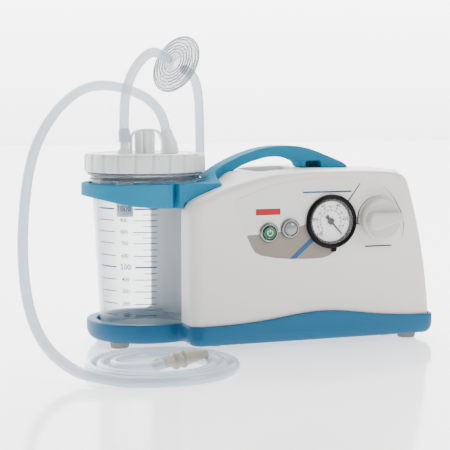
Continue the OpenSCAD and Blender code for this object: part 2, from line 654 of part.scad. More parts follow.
module screw_ring() color([0.89, 0.90, 0.90]) translate(jar_at) difference() {
    rotate_extrude() polygon([[57, ring_z], [ring_r - 0.6, ring_z], [ring_r, ring_z + 0.8],
        [ring_r, ring_z + ring_h - 2], [ring_r - 2, ring_z + ring_h], [47.8, ring_z + ring_h],
        [47.8, lid_z + 1.9], [57, lid_z + 1.9]]);
    for (i = [0:ring_scallops - 1]) rotate([0, 0, 360 * (i + 0.5) / ring_scallops])
        translate([ring_r + 10.6, 0, ring_z - 1]) cylinder(r = 12, h = ring_h - 3);
}

module lid_knob() color([0.84, 0.86, 0.84]) translate(jar_at + [0, 0, lid_top_z]) difference() {
    union() {
        cylinder(r = 10.6, h = 20);
        translate([0, 0, 20]) cylinder(r1 = 10.6, r2 = 9.4, h = 1.2);
    }
    for (i = [0:knob_flutes - 1]) rotate([0, 0, 360 * i / knob_flutes])
        translate([12.2, 0, -1]) cylinder(r = 2.8, h = 22);
}

// The retaining strap that arches from the vacuum port over the knob to the patient port
module lid_strap() color([0.90, 0.91, 0.90]) translate([0, jar_at[1] + 4, 0]) rotate([90, 0, 0])
    linear_extrude(8) polygon([[-126, lid_top_z], [-123.9, lid_top_z], [-124.2, 204], [-123.6, 209],
        [-121.8, 212.3], [-118.5, 213.8], [-112, 214.2], [-104, 214.2], [-99.4, 213.6], [-96.4, 211.2],
        [-94, 207], [-92.4, 203.5], [-91.6, 208], [-94.4, 212.6], [-98.4, 215.6], [-104, 216.4], [-112, 216.4],
        [-119.4, 215.9], [-123.4, 214], [-125.6, 210], [-126.3, 204]]);

module patient_elbow() color([0.90, 0.91, 0.90]) {
    difference() {
        union() {
            translate([elbow_at[0], elbow_at[1], lid_top_z]) cylinder(r1 = 7.4, r2 = 6.4, h = 8);
            translate([elbow_at[0] - 0.5, elbow_at[1], lid_top_z + 5]) rotate([0, -13, 0])
                cylinder(r1 = 6.6, r2 = 6.2, h = 12);
            translate([elbow_tip[0], elbow_tip[1], elbow_tip[2]]) rotate([0, -13, 0])
                translate([0, 0, -8]) cylinder(r = 4.4, h = 8);
        }
        translate([elbow_at[0], elbow_at[1], lid_top_z - 1]) cylinder(r = 3, h = 8);
        translate([elbow_at[0] - 0.5, elbow_at[1], lid_top_z + 5]) rotate([0, -13, 0])
            cylinder(r = 3, h = 40);
    }
}

module float_cage() color([0.80, 0.82, 0.82]) translate([port_at[0], port_at[1], 0]) difference() {
    translate([0, 0, cage_z]) cylinder(r = 8.5, h = cage_top_z - cage_z);
    translate([0, 0, cage_z + 2]) cylinder(r = 6.8, h = float_h + float_tip_h + float_travel + 0.6);
    translate([0, 0, cage_z]) cylinder(r = 2.4, h = 100);
    for (a = [0, 90]) rotate([0, 0, a]) translate([-10, -2.2, cage_z + 5]) cube([20, 4.4, 18]);
}

module float() color([0.92, 0.92, 0.90]) translate([port_at[0], port_at[1], cage_z + 2.1]) {
    cylinder(r = 6.2, h = float_h);
    translate([0, 0, float_h]) cylinder(r1 = 6.2, r2 = 3, h = float_tip_h);
}

module jar_hose() color(hose_clear) hose_along(jar_hose_route, hose_d);
module pump_hose() color(hose_clear) hose_along(pump_hose_route, hose_d);
module patient_hose() color(hose_clear) hose_along(patient_hose_route, hose_d);

// One shell of the in-line filter, open side down on the middle plane
module filter_shell() {
    difference() {
        union() {
            translate([0, 0, 0.2]) cylinder(r = filter_r, h = 1.4);
            translate([0, 0, 1.6]) cylinder(r1 = filter_r - 2, r2 = filter_r - 4, h = 2.6);
            for (r = [8:5:23]) translate([0, 0, 4.2]) difference() {
                cylinder(r = r + 0.6, h = 0.6);
                cylinder(r = r - 0.6, h = 2);
            }
            translate([0, 0, 4.2]) cylinder(r = 3.8, h = 7.8);
        }
        translate([0, 0, 0.1]) cylinder(r1 = filter_r - 3.4, r2 = filter_r - 5.4, h = 2.8);
        cylinder(r = 2.2, h = 40);
    }
}

module filter_front() color(hose_clear) translate(filter_at) rotate(filter_turn) filter_shell();
module filter_back() color(hose_clear) translate(filter_at) rotate(filter_turn)
    mirror([0, 0, 1]) filter_shell();
module filter_membrane() color([0.95, 0.95, 0.95]) translate(filter_at) rotate(filter_turn)
    translate([0, 0, -0.19]) cylinder(r = filter_r - 0.6, h = 0.38);

module patient_hose_coil() color(hose_clear) translate(coil_at) rotate_extrude() polygon([
    [coil_r[0], 2], [coil_r[0] + 2, 0], [coil_r[1] - 2, 0], [coil_r[1], 2],
    [coil_r[1], hose_d - 2], [coil_r[1] - 2, hose_d], [coil_r[0] + 2, hose_d], [coil_r[0], hose_d - 2]]);

// Stepped suction connector lying inside the coil, from its barb to its mouth
module patient_connector() color([0.80, 0.78, 0.74])
    translate(connector_at) rotate(connector_turn) difference() {
    rotate_extrude() polygon([[0, 0], [4.6, 0], [5.6, 3], [4.6, 3.2], [4.9, 6], [5.8, 9], [5, 9.4], [5.2, 19],
        [7.6, 20], [8.4, 22], [7.6, 24], [6, 25], [6, 28], [8, 29], [8.4, 30.5], [7.6, 32], [6.6, 33],
        [6.3, 38], [5.8, 38.2], [5.6, 43.5], [5.1, 43.8], [4.9, 49], [4.5, 49.3], [4.2, 56], [0, 56]]);
    translate([0, 0, -1]) cylinder(r = 2.5, h = 80);
}

base_tray();
rubber_feet();
upper_housing();
handle_collar();
housing_screws();
handle_screws();
control_label();
gauge_case();
gauge_dial();
gauge_window();
bourdon_tube();
gauge_needle();
switch_bezel();
switch_body();
switch_button();
lamp_bezel();
lamp_lens();
regulator_body();
regulator_knob();
inlet_spigot();
power_inlet();
inlet_pins();
fuse_drawer();
exhaust_muffler();
exhaust_hose();
inlet_hose();
regulator_hose();
gauge_hose();
motor_casing();
motor_stator();
motor_bearings();
motor_rotor();
cooling_fan();
eccentric();
piston_rod();
crankcase();
cylinder_sleeve();
valve_plate();
cylinder_head();
head_screws();
motor_cradle();
rubber_mounts();
jar();
lid_gasket();
jar_lid();
screw_ring();
lid_knob();
lid_strap();
patient_elbow();
float_cage();
float();
jar_hose();
pump_hose();
filter_front();
filter_back();
filter_membrane();
patient_hose();
patient_hose_coil();
patient_connector();
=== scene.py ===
"""Looks of a portable suction pump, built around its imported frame. Sizes are millimetres unless said."""

import math

import bmesh
import bpy
from mathutils import Matrix, Vector


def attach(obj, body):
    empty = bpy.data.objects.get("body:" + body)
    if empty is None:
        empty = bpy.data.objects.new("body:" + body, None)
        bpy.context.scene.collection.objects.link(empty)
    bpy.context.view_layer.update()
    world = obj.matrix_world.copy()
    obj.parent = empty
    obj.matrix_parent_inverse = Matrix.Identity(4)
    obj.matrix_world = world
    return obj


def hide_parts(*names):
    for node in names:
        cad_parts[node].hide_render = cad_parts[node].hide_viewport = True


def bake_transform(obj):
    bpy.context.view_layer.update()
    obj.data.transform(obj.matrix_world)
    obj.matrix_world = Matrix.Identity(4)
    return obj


MM = 0.001
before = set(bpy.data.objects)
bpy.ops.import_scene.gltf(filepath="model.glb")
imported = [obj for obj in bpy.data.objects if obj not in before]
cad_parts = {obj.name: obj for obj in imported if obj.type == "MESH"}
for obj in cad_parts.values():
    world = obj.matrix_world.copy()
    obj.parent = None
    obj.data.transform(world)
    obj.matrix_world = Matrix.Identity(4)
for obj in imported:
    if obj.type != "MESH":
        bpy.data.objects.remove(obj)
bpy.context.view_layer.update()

# ---- places shared with the frame
JAR_AT = (-110.5, 17.5)
PORT_AT = (-131.8, 17.5)
ELBOW_AT = (-84.3, 17.5)
SPIGOT_AT = (-40, 54.5)
LEFT, RIGHT = -89, 171.5
FRONT, BACK = -70.5, 85.5
GAUGE_AT = (56.5, 124.8)
KNOB_AT = (109.2, 125.7)
SWITCH_AT = (-9.9, 115.7)
LAMP_AT = (12.5, 119.2)
INLET_X = 132
FILTER_AT = (-73.4, 29.5, 282)
FILTER_TURN = (0, 66.3, 206.5)
CONNECTOR_AT = (-150, -152, 9)
CONNECTOR_TURN = (0, 86, 16)
COIL_AT = (-141, -136)
HOSE_D = 10
NOTCH_TURN = -78.2

# ---- camera
camera_data = bpy.data.cameras.new("camera")
camera_data.sensor_width = 36
camera_data.lens = 105.4
camera_data.shift_x = -0.0556
camera_data.shift_y = 0.0067
camera_data.clip_start = 0.05
camera_data.clip_end = 200
camera = bpy.data.objects.new("camera", camera_data)
bpy.context.scene.collection.objects.link(camera)
camera.location = (-0.46975, -1.27276, 0.2444)
PITCH = math.radians(-5.51)
HEADING = math.atan2(0.939, 0.344)
looking = Vector((math.cos(PITCH) * math.cos(HEADING), math.cos(PITCH) * math.sin(HEADING), math.sin(PITCH)))
camera.rotation_euler = looking.to_track_quat("-Z", "Y").to_euler()
bpy.context.scene.camera = camera


# ---- finishes
def rgb(code):
    """Linear colour of a screen colour such as 4e97bd."""
    parts = [int(code[i : i + 2], 16) / 255 for i in (0, 2, 4)]
    return tuple(p / 12.92 if p <= 0.04045 else ((p + 0.055) / 1.055) ** 2.4 for p in parts) + (1.0,)


def noise(tree, scale, detail=3.0):
    place = tree.nodes.new("ShaderNodeTexCoord")
    node = tree.nodes.new("ShaderNodeTexNoise")
    node.inputs["Scale"].default_value = scale
    node.inputs["Detail"].default_value = detail
    tree.links.new(place.outputs["Object"], node.inputs["Vector"])
    return node


def finish(name, code, roughness, drift=0.04, grain=0.15, grain_mm=0.7, wear=0.06, **sockets):
    """A procedural finish. Its colour drifts a little, its gloss varies, and a fine grain covers it."""
    material = bpy.data.materials.new(name)
    material.use_nodes = True
    tree = material.node_tree
    shader = tree.nodes["Principled BSDF"]
    for key, value in sockets.items():
        shader.inputs[key.replace("_", " ")].default_value = value
    colour = rgb(code)
    cloud = noise(tree, 18.0)
    if drift:
        mix = tree.nodes.new("ShaderNodeMix")
        mix.data_type = "RGBA"
        mix.inputs["A"].default_value = tuple(c * (1 - drift) for c in colour[:3]) + (1.0,)
        mix.inputs["B"].default_value = tuple(min(1.0, c * (1 + drift)) for c in colour[:3]) + (1.0,)
        tree.links.new(cloud.outputs["Fac"], mix.inputs["Factor"])
        tree.links.new(mix.outputs["Result"], shader.inputs["Base Color"])
    else:
        shader.inputs["Base Color"].default_value = colour
    gloss = tree.nodes.new("ShaderNodeMapRange")
    gloss.inputs["To Min"].default_value = max(0.0, roughness - wear)
    gloss.inputs["To Max"].default_value = roughness + wear
    tree.links.new(noise(tree, 60.0).outputs["Fac"], gloss.inputs["Value"])
    tree.links.new(gloss.outputs["Result"], shader.inputs["Roughness"])
    if grain:
        bump = tree.nodes.new("ShaderNodeBump")
        bump.inputs["Strength"].default_value = grain
        bump.inputs["Distance"].default_value = 0.0001
        tree.links.new(noise(tree, 1000 / grain_mm).outputs["Fac"], bump.inputs["Height"])
        tree.links.new(bump.outputs["Normal"], shader.inputs["Normal"])
    return material


def see_through(material, face_on, edge_on, power=1.6):
    """Lets a finish be seen through where it is met face on, and less so at its edges."""
    tree = material.node_tree
    facing = tree.nodes.new("ShaderNodeLayerWeight")
    curve = tree.nodes.new("ShaderNodeMath")
    curve.operation = "POWER"
    curve.inputs[1].default_value = power
    span = tree.nodes.new("ShaderNodeMapRange")
    span.inputs["To Min"].default_value = face_on
    span.inputs["To Max"].default_value = edge_on
    tree.links.new(facing.outputs["Facing"], curve.inputs[0])
    tree.links.new(curve.outputs["Value"], span.inputs["Value"])
    tree.links.new(span.outputs["Result"], tree.nodes["Principled BSDF"].inputs["Alpha"])
    return material


INK = dict(drift=0.05, grain=0.05)
# Each finish: its colour, its roughness and what else differs from a plain one.
FINISH_TABLE = {
    "base_plastic": ("1d5f84", 0.45, dict(grain=0.25, Specular_IOR_Level=0.2)),
    "handle_plastic": ("2680a4", 0.6, dict(grain=0.2, Specular_IOR_Level=0.04)),
    "shell_plastic": ("e9e5e0", 0.36, dict(grain=0.3, drift=0.015)),
    "label_film": ("e3e1de", 0.30, dict(drift=0.01, grain=0.08, grain_mm=0.5)),
    "label_taupe": ("857b71", 0.34, dict(drift=0.02, grain=0.08)),
    "print_blue": ("0b4a78", 0.4, INK),
    "print_navy": ("1c2c42", 0.4, INK),
    "print_red": ("a8000c", 0.4, INK),
    # Grey print on the jar and the knob bar, also used as painted shade along the label's edge.
    "print_and_shade_grey": ("1b2634", 0.4, INK),
    "black_plastic": ("050506", 0.45, dict(drift=0.1, grain=0.2, Specular_IOR_Level=0.15)),
    "dial_print": ("fbfbfa", 0.5, dict(drift=0.01, grain=0.05)),
    "clear_window": ("ffffff", 0.04, dict(drift=0.0, grain=0.02, Alpha=0.05)),
    "brass": ("b8975a", 0.3, dict(drift=0.08, Metallic=1.0)),
    "needle_black": ("040405", 0.5, dict(drift=0.1, grain=0.05, Specular_IOR_Level=0.2)),
    "bezel_chrome": ("8b8d90", 0.22, dict(drift=0.05, grain=0.05, Metallic=0.9)),
    "green_plastic": ("0b5a33", 0.25, dict(drift=0.1, grain=0.05, Coat_Weight=0.5)),
    "lens_plastic": ("8b8d8d", 0.18, dict(drift=0.05, grain=0.03, Coat_Weight=0.6)),
    "knob_plastic": ("cbc9c3", 0.38, dict(drift=0.02, grain=0.2)),
    "cap_plastic": ("dfe3e2", 0.34, dict(drift=0.02, grain=0.25)),
    "lid_plastic": ("f6f8f7", 0.32, dict(drift=0.02, grain=0.15)),
    "jar_clear": ("c9d8e2", 0.05, dict(drift=0.02, grain=0.03, wear=0.02, Coat_Weight=0.3)),
    "hose_pvc": ("d2e2ef", 0.2, dict(drift=0.03, grain=0.05, Coat_Weight=0.4)),
    "filter_clear": ("dde6ec", 0.08, dict(drift=0.02, grain=0.03, Coat_Weight=0.4)),
    # Darker grey for the filter's ridge crests: painted shade where the clear ridges look dark.
    "filter_ridge_painted_shade": ("93a1ad", 0.2, dict(drift=0.02, grain=0.03, Alpha=0.5)),
    "membrane": ("f2f5f6", 0.8, dict(drift=0.02, grain=0.4, Alpha=0.3)),
    "rubber_grey": ("85847f", 0.7, dict(drift=0.05, grain=0.4)),
    "rubber_black": ("202122", 0.7, dict(drift=0.1, grain=0.4)),
    "steel": ("b9bbbd", 0.3, dict(drift=0.05, grain=0.1, Metallic=1.0)),
    "dark_steel": ("55585c", 0.35, dict(drift=0.08, grain=0.1, Metallic=1.0)),
    "cast_aluminium": ("9ea1a4", 0.5, dict(drift=0.06, grain=0.5, Metallic=1.0)),
    "connector_plastic": ("a8a294", 0.35, dict(drift=0.06, grain=0.15)),
    "float_plastic": ("e9e9e2", 0.4, dict(drift=0.03)),
    "cage_plastic": ("cdd3d3", 0.3, dict(drift=0.03)),
    "fan_plastic": ("3c3f43", 0.45, dict(drift=0.08, grain=0.2)),
    # Darker grey for the jar's clear flange: painted shade where its thick edge looks dark.
    "flange_painted_shade": ("6b7580", 0.1, dict(drift=0.05, grain=0.03)),
    "button_glow": ("bfe8cf", 0.3, dict(drift=0.05, grain=0.03)),
}
# How opaque a clear finish is face on and at its edges, and how fast it changes.
SEE_THROUGH = {
    "jar_clear": (0.13, 0.8),
    "hose_pvc": (0.62, 0.95),
    "filter_clear": (0.02, 0.7, 2.4),
    "cage_plastic": (0.55, 0.95),
    "flange_painted_shade": (0.6, 0.95),
}
FINISHES = {name: finish(name, code, rough, **more) for name, (code, rough, more) in FINISH_TABLE.items()}
for name, span in SEE_THROUGH.items():
    see_through(FINISHES[name], *span)


# ---- mesh helpers
def place(at=(0, 0, 0), turn=(0, 0, 0)):
    """A placement in millimetres, turned about X, then Y, then Z."""
    turns = [Matrix.Rotation(math.radians(a), 4, axis) for a, axis in zip(turn, "XYZ")]
    return Matrix.Translation(at) @ turns[2] @ turns[1] @ turns[0]


def on_panel(at, out=0):
    """A placement on the front panel, its +Z pointing out to the user."""
    return place((at[0], FRONT - out, at[1]), (90, 0, 0))


def solid(name, points, faces, where=None, sharp=35, keep_doubles=False):
    """A closed mesh from points in millimetres, smooth except at edges sharper than the angle."""
    mesh = bpy.data.meshes.new(name)
    where = where or Matrix()
    mesh.from_pydata([tuple((where @ Vector(p)) * MM) for p in points], [], faces)
    work = bmesh.new()
    work.from_mesh(mesh)
    if not keep_doubles:
        bmesh.ops.remove_doubles(work, verts=work.verts, dist=1e-6)
        bmesh.ops.dissolve_degenerate(work, dist=1e-7, edges=work.edges)
    bmesh.ops.recalc_face_normals(work, faces=work.faces)
    work.to_mesh(mesh)
    work.free()
    mesh.shade_smooth()
    mesh.set_sharp_from_angle(angle=math.radians(sharp))
    piece = bpy.data.objects.new(name, mesh)
    bpy.context.scene.collection.objects.link(piece)
    return piece


def applied(piece, sharp=35):
    """Applies a piece's modifiers."""
    mesh = bpy.data.meshes.new_from_object(piece.evaluated_get(bpy.context.evaluated_depsgraph_get()))
    piece.modifiers.clear()
    piece.data = mesh
    mesh.shade_smooth()
    mesh.set_sharp_from_angle(angle=math.radians(sharp))
    return piece


def combine(piece, others, operation="DIFFERENCE"):
    """Cuts other solids out of a piece, or joins them to it."""
    for other in others:
        step = piece.modifiers.new("combine", "BOOLEAN")
        step.operation = operation
        step.solver = "MANIFOLD"
        step.object = other
        applied(piece)
        bpy.data.objects.remove(other)
    return piece


def bevelled(piece, width, angle=40, segments=3):
    step = piece.modifiers.new("bevel", "BEVEL")
    step.width = width * MM
    step.segments = segments
    step.limit_method = "ANGLE"
    step.angle_limit = math.radians(angle)
    return piece


def even_shading(piece):
    step = piece.modifiers.new("shading", "WEIGHTED_NORMAL")
    step.keep_sharp = True
    return piece


def dress(piece, finish_name, body, *nodes, slot=None):
    """Gives a piece its finish, its body and the nodes that it stands for."""
    piece.data.materials.clear()
    piece.data.materials.append(FINISHES[finish_name])
    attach(piece, body)
    if nodes:
        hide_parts(*nodes)
    return piece


def rounded(points, radius, closed=False, steps=4):
    """A polyline whose corners are rounded, each by its own third value or else by the radius."""
    result = []
    count = len(points)
    for i, point in enumerate(points):
        here = Vector(point[:2])
        if not closed and i in (0, count - 1):
            result.append(tuple(here))
            continue
        to_last = Vector(points[i - 1][:2]) - here
        to_next = Vector(points[(i + 1) % count][:2]) - here
        size = point[2] if len(point) > 2 else radius
        corner = to_last.angle(to_next) if to_last.length * to_next.length > 0 else math.pi
        if size <= 0 or corner > math.radians(177):
            result.append(tuple(here))
            continue
        reach = min(size / math.tan(corner / 2), 0.48 * to_last.length, 0.48 * to_next.length)
        start = here + to_last.normalized() * reach
        end = here + to_next.normalized() * reach
        for k in range(steps + 1):
            t = k / steps
            result.append(tuple(start * (1 - t) ** 2 + here * 2 * t * (1 - t) + end * t**2))
    return result


def polar(radius, turn):
    """The point at a radius and an angle in degrees."""
    return radius * math.cos(math.radians(turn)), radius * math.sin(math.radians(turn))


def turned(profile, sides, radius_at=None):
    """Points and faces of a closed profile of (radius, height) turned about Z."""
    count = len(profile)
    points, faces = [], []
    for k in range(sides):
        turn = 2 * math.pi * k / sides
        for i, (r, z) in enumerate(profile):
            around = radius_at(r, turn) if radius_at else r
            points.append((around * math.cos(turn), around * math.sin(turn), z))
            j = (i + 1) % count
            if r >= 1e-6 or profile[j][0] >= 1e-6:
                a, b = k * count, (k + 1) % sides * count
                faces.append((a + i, b + i, b + j, a + j))
    return points, faces


def lathe(name, profile, where, sides, radius_at=None):
    """A turned solid. radius_at may vary a radius with the angle."""
    return solid(name, *turned(profile, sides, radius_at), where)


def moulded(name, profile, corner, where, sides, closed=False, steps=4, radius_at=None):
    """A turned solid whose profile has rounded corners."""
    return lathe(name, rounded(profile, corner, closed, steps), where, sides, radius_at)


def dome(radius, base, rise, turns):
    """The profile of a dome over a rim, ending on the axis."""
    return [(polar(radius, a)[0], base + polar(rise, a)[1]) for a in turns] + [(0, base + rise)]


def gather(store, points, faces):
    """Adds points and faces to the two lists of a store, which become one mesh."""
    start = len(store[0])
    store[0].extend(points)
    store[1].extend(tuple(i + start for i in face) for face in faces)


def skin(loops):
    """Points and faces of a closed surface through loops of equal length, capped at both ends."""
    count = len(loops[0])
    points = [p for loop in loops for p in loop]
    faces = [tuple(range(count)), tuple(range((len(loops) - 1) * count, len(loops) * count))]
    for s in range(len(loops) - 1):
        for k in range(count):
            j = (k + 1) % count
            faces.append((s * count + k, s * count + j, (s + 1) * count + j, (s + 1) * count + k))
    return points, faces


def prism(name, outline, low, high, where=None):
    """Extrudes a closed outline along Z."""
    return solid(name, *skin([[(x, y, z) for x, y in outline] for z in (low, high)]), where)


def box_outline(low, high, radius):
    corners = [(low[0], low[1]), (high[0], low[1]), (high[0], high[1]), (low[0], high[1])]
    return rounded(corners, radius, closed=True) if radius else corners


def spline(points, step):
    """A smooth curve through points, resampled at even steps."""
    path = [Vector(p) for p in points]
    path = [path[0] * 2 - path[1]] + path + [path[-1] * 2 - path[-2]]
    fine = []
    for i in range(1, len(path) - 2):
        a, b, c, d = path[i - 1 : i + 3]
        for k in range(16):
            t = k / 16
            bend, twist = 2 * a - 5 * b + 4 * c - d, 3 * b - a - 3 * c + d
            fine.append(0.5 * (2 * b + (c - a) * t + bend * t**2 + twist * t**3))
    fine.append(path[-2])
    lengths = [0.0]
    for a, b in zip(fine, fine[1:]):
        lengths.append(lengths[-1] + (b - a).length)
    count = max(2, round(lengths[-1] / step))
    result, k = [], 0
    for i in range(count + 1):
        want = lengths[-1] * i / count
        while k < len(fine) - 2 and lengths[k + 1] < want:
            k += 1
        share = (want - lengths[k]) / max(1e-9, lengths[k + 1] - lengths[k])
        result.append(fine[k].lerp(fine[k + 1], min(1.0, share)))
    return result


def frames_along(path):
    """Directions across a path that turn with it, without twisting."""
    ahead = (path[1] - path[0]).normalized()
    side = ahead.orthogonal().normalized()
    result = []
    for i, point in enumerate(path):
        ahead = (path[min(i + 1, len(path) - 1)] - path[max(i - 1, 0)]).normalized()
        side = (side - ahead * side.dot(ahead)).normalized()
        result.append((point, side, ahead.cross(side)))
    return result


def tube(name, path, radius, sides=20):
    """A hose along a path. radius may be a list, one for each point."""
    radii = radius if isinstance(radius, list) else [radius] * len(path)
    turns = [2 * math.pi * k / sides for k in range(sides)]
    loops = []
    for (point, side, up), r in zip(frames_along(path), radii):
        loops.append([point + side * (r * math.cos(a)) + up * (r * math.sin(a)) for a in turns])
    return solid(name, *skin(loops))


def strip(name, path, width, height, corner):
    """A band of rounded rectangular section along a path that lies in a plane across Y."""
    section = box_outline((-width / 2, -height / 2), (width / 2, height / 2), corner)
    loops = []
    for i, point in enumerate(path):
        ahead = (path[min(i + 1, len(path) - 1)] - path[max(i - 1, 0)]).normalized()
        up = ahead.cross(Vector((0, 1, 0)))
        loops.append([point + Vector((0, 1, 0)) * a + up * b for a, b in section])
    return solid(name, *skin(loops))


def figures(text, height):
    """The flat outline of a number, as points and faces around its middle."""
    curve = bpy.data.curves.new("figures", "FONT")
    curve.body = text
    curve.size = height / 0.7
    curve.align_x = "CENTER"
    curve.align_y = "CENTER"
    curve.resolution_u = 3
    curve.offset = 0.02 * height
    holder = bpy.data.objects.new("figures", curve)
    bpy.context.scene.collection.objects.link(holder)
    mesh = bpy.data.meshes.new_from_object(holder.evaluated_get(bpy.context.evaluated_depsgraph_get()))
    points = [(v.co.x, v.co.y) for v in mesh.vertices]
    faces = [tuple(f.vertices) for f in mesh.polygons]
    bpy.data.objects.remove(holder)
    bpy.data.meshes.remove(mesh)
    return points, faces


ON_JAR_AXIS = place((*JAR_AT, 0))

# ---- cords
JAR_HOSE = [
    (-131.8, 17.5, 204), (-131.9, 17.5, 218), (-131.6, 17.2, 232), (-130.8, 16.8, 246), (-128.4, 16.2, 259),
    (-123.8, 15.6, 271), (-117.4, 15.2, 281.5), (-109.6, 15.4, 289.5), (-100.8, 17, 293.4), (-92, 20.2, 291),
    (-83.2, 24.6, 286.8),
]
PUMP_HOSE = [
    (-63.6, 34.4, 277.2), (-55, 38.6, 272.6), (-48.8, 42.4, 265), (-45, 45.8, 254), (-42.8, 48.6, 241),
    (-41.4, 51, 226), (-40.5, 53.2, 209), (-40, 54.3, 193), (-40, 54.5, 178.3),
]
PATIENT_RUN = [
    (-88.4, 17.5, 214), (-91, 18.4, 226.4), (-97.6, 21, 238.6), (-109, 24, 248.6), (-123, 26.4, 255),
    (-138, 27.6, 258.8), (-153, 25.6, 260), (-169, 20, 257.2), (-184, 12, 250.2), (-199, 2, 239.4),
    (-212, -8, 226.4), (-223, -18, 212), (-232, -28, 196), (-239, -39, 178.4), (-245, -52, 157.6),
    (-250, -66, 135), (-253.6, -80, 113.4), (-255.6, -94, 91), (-255.6, -107, 70.4), (-253.4, -119, 52.4),
    (-248.6, -131, 37), (-241, -143, 24.4), (-231.4, -155, 15.4), (-221, -166, 9.4),
]


# The floor coil, by its angle in degrees: where the run meets it, where it is even, and where it ends.
COIL_MET, COIL_START, COIL_EVEN, COIL_STOP, COIL_END, COIL_STEP = 200.6, 206.0, 256, 1208, 1209, 12
COIL_SETTLE = 58
COIL_RADIUS, COIL_PITCH, COIL_EASE = 71, 10.3, 14.4
COIL_LIFT, LIFT_SPAN = 4.4, 26
UTURN_RADIUS, UTURN_START, UTURN_END, UTURN_STEPS, UTURN_LIFT = 29, 129, 286, 13, 4.3


def coil_radius(turn):
    """Radius of the floor coil at an angle."""
    settle = min(1.0, (turn - COIL_MET) / COIL_SETTLE)
    return COIL_RADIUS - COIL_PITCH * (turn - COIL_EVEN) / 360 * settle + COIL_EASE * (1 - settle) ** 2


def coil_path():
    """The floor coil: three turns beside each other, then a U-turn into the connector."""
    path = []
    turn = COIL_START
    while turn < COIL_STOP:
        x, y = polar(coil_radius(turn), turn)
        lift = COIL_LIFT * max(0.0, 1 - (turn - COIL_MET) / LIFT_SPAN)
        path.append(Vector((COIL_AT[0] + x, COIL_AT[1] + y, HOSE_D / 2 + lift)))
        turn += COIL_STEP
    a = math.radians(COIL_END)
    inward = coil_radius(COIL_END) - UTURN_RADIUS
    middle = Vector(COIL_AT).to_3d() + Vector((math.cos(a), math.sin(a), 0)) * inward
    for k in range(1, UTURN_STEPS + 1):
        share = k / UTURN_STEPS
        x, y = polar(UTURN_RADIUS, UTURN_START + (UTURN_END - UTURN_START) * k / UTURN_STEPS)
        path.append(middle + Vector((x, y, HOSE_D / 2 + UTURN_LIFT * share**3)))
    return path


jar_hose_path = spline(JAR_HOSE, 4)
pump_hose_path = spline(list(reversed(PUMP_HOSE)), 4)
patient_path = spline(PATIENT_RUN + coil_path(), 5)

jar_hose = dress(tube("jar_hose_tube", jar_hose_path, HOSE_D / 2), "hose_pvc", "canister", "jar_hose")
pump_hose = dress(tube("pump_hose_tube", pump_hose_path, HOSE_D / 2), "hose_pvc", "canister", "pump_hose")
patient_tube = tube("patient_tube", patient_path, HOSE_D / 2)
patient_tube.data.materials.append(FINISHES["hose_pvc"])
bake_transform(patient_tube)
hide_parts("patient_hose", "patient_hose_coil")

# the stepped connector, from its barb to its mouth
CONNECTOR_PROFILE = [
    (2.5, 0), (4.6, 0), (5.6, 3), (4.7, 3.2), (4.9, 6), (5.8, 9), (5, 9.4), (5.2, 19), (7.6, 20, 0.6),
    (8.4, 22, 0.8), (7.6, 24, 0.6), (6, 25), (6, 28), (8, 29, 0.5), (8.4, 30.5, 0.6), (7.6, 32, 0.5),
    (6.6, 33), (6.3, 38), (5.8, 38.2), (5.6, 43.5), (5.1, 43.8), (4.9, 49), (4.5, 49.3), (4.2, 56, 0.4),
    (3.1, 56, 0.3), (2.6, 40),
]
at_connector = place(CONNECTOR_AT, CONNECTOR_TURN)
connector = moulded("suction_connector", CONNECTOR_PROFILE, 0.25, at_connector, sides=64, closed=True, steps=3)
dress(connector, "connector_plastic", "unit", "patient_connector")


# ---- housing
CROWN = [
    (-89, 60), (-89, 100), (-89, 128), (-87.6, 141), (-83, 147.4), (-76, 151), (-57.5, 158.5), (-38, 165),
    (-16.5, 170.5), (6, 173.7), (30, 174.8), (60, 175), (95, 174.6), (124, 173.2), (136, 170.6),
    (142.5, 166.4), (146.4, 159.6), (151, 144), (156, 125), (162, 97), (167, 66), (170, 40), (171.5, 9.3),
]
FLOOR_Z = 9.3
FULL_CROWN = 173
HUB = (45, 88)
DOME = 0.2
WALL = 2.5


def swell(a, b, x):
    t = min(1.0, max(0.0, (x - a) / (b - a)))
    return t * t * (3 - 2 * t)


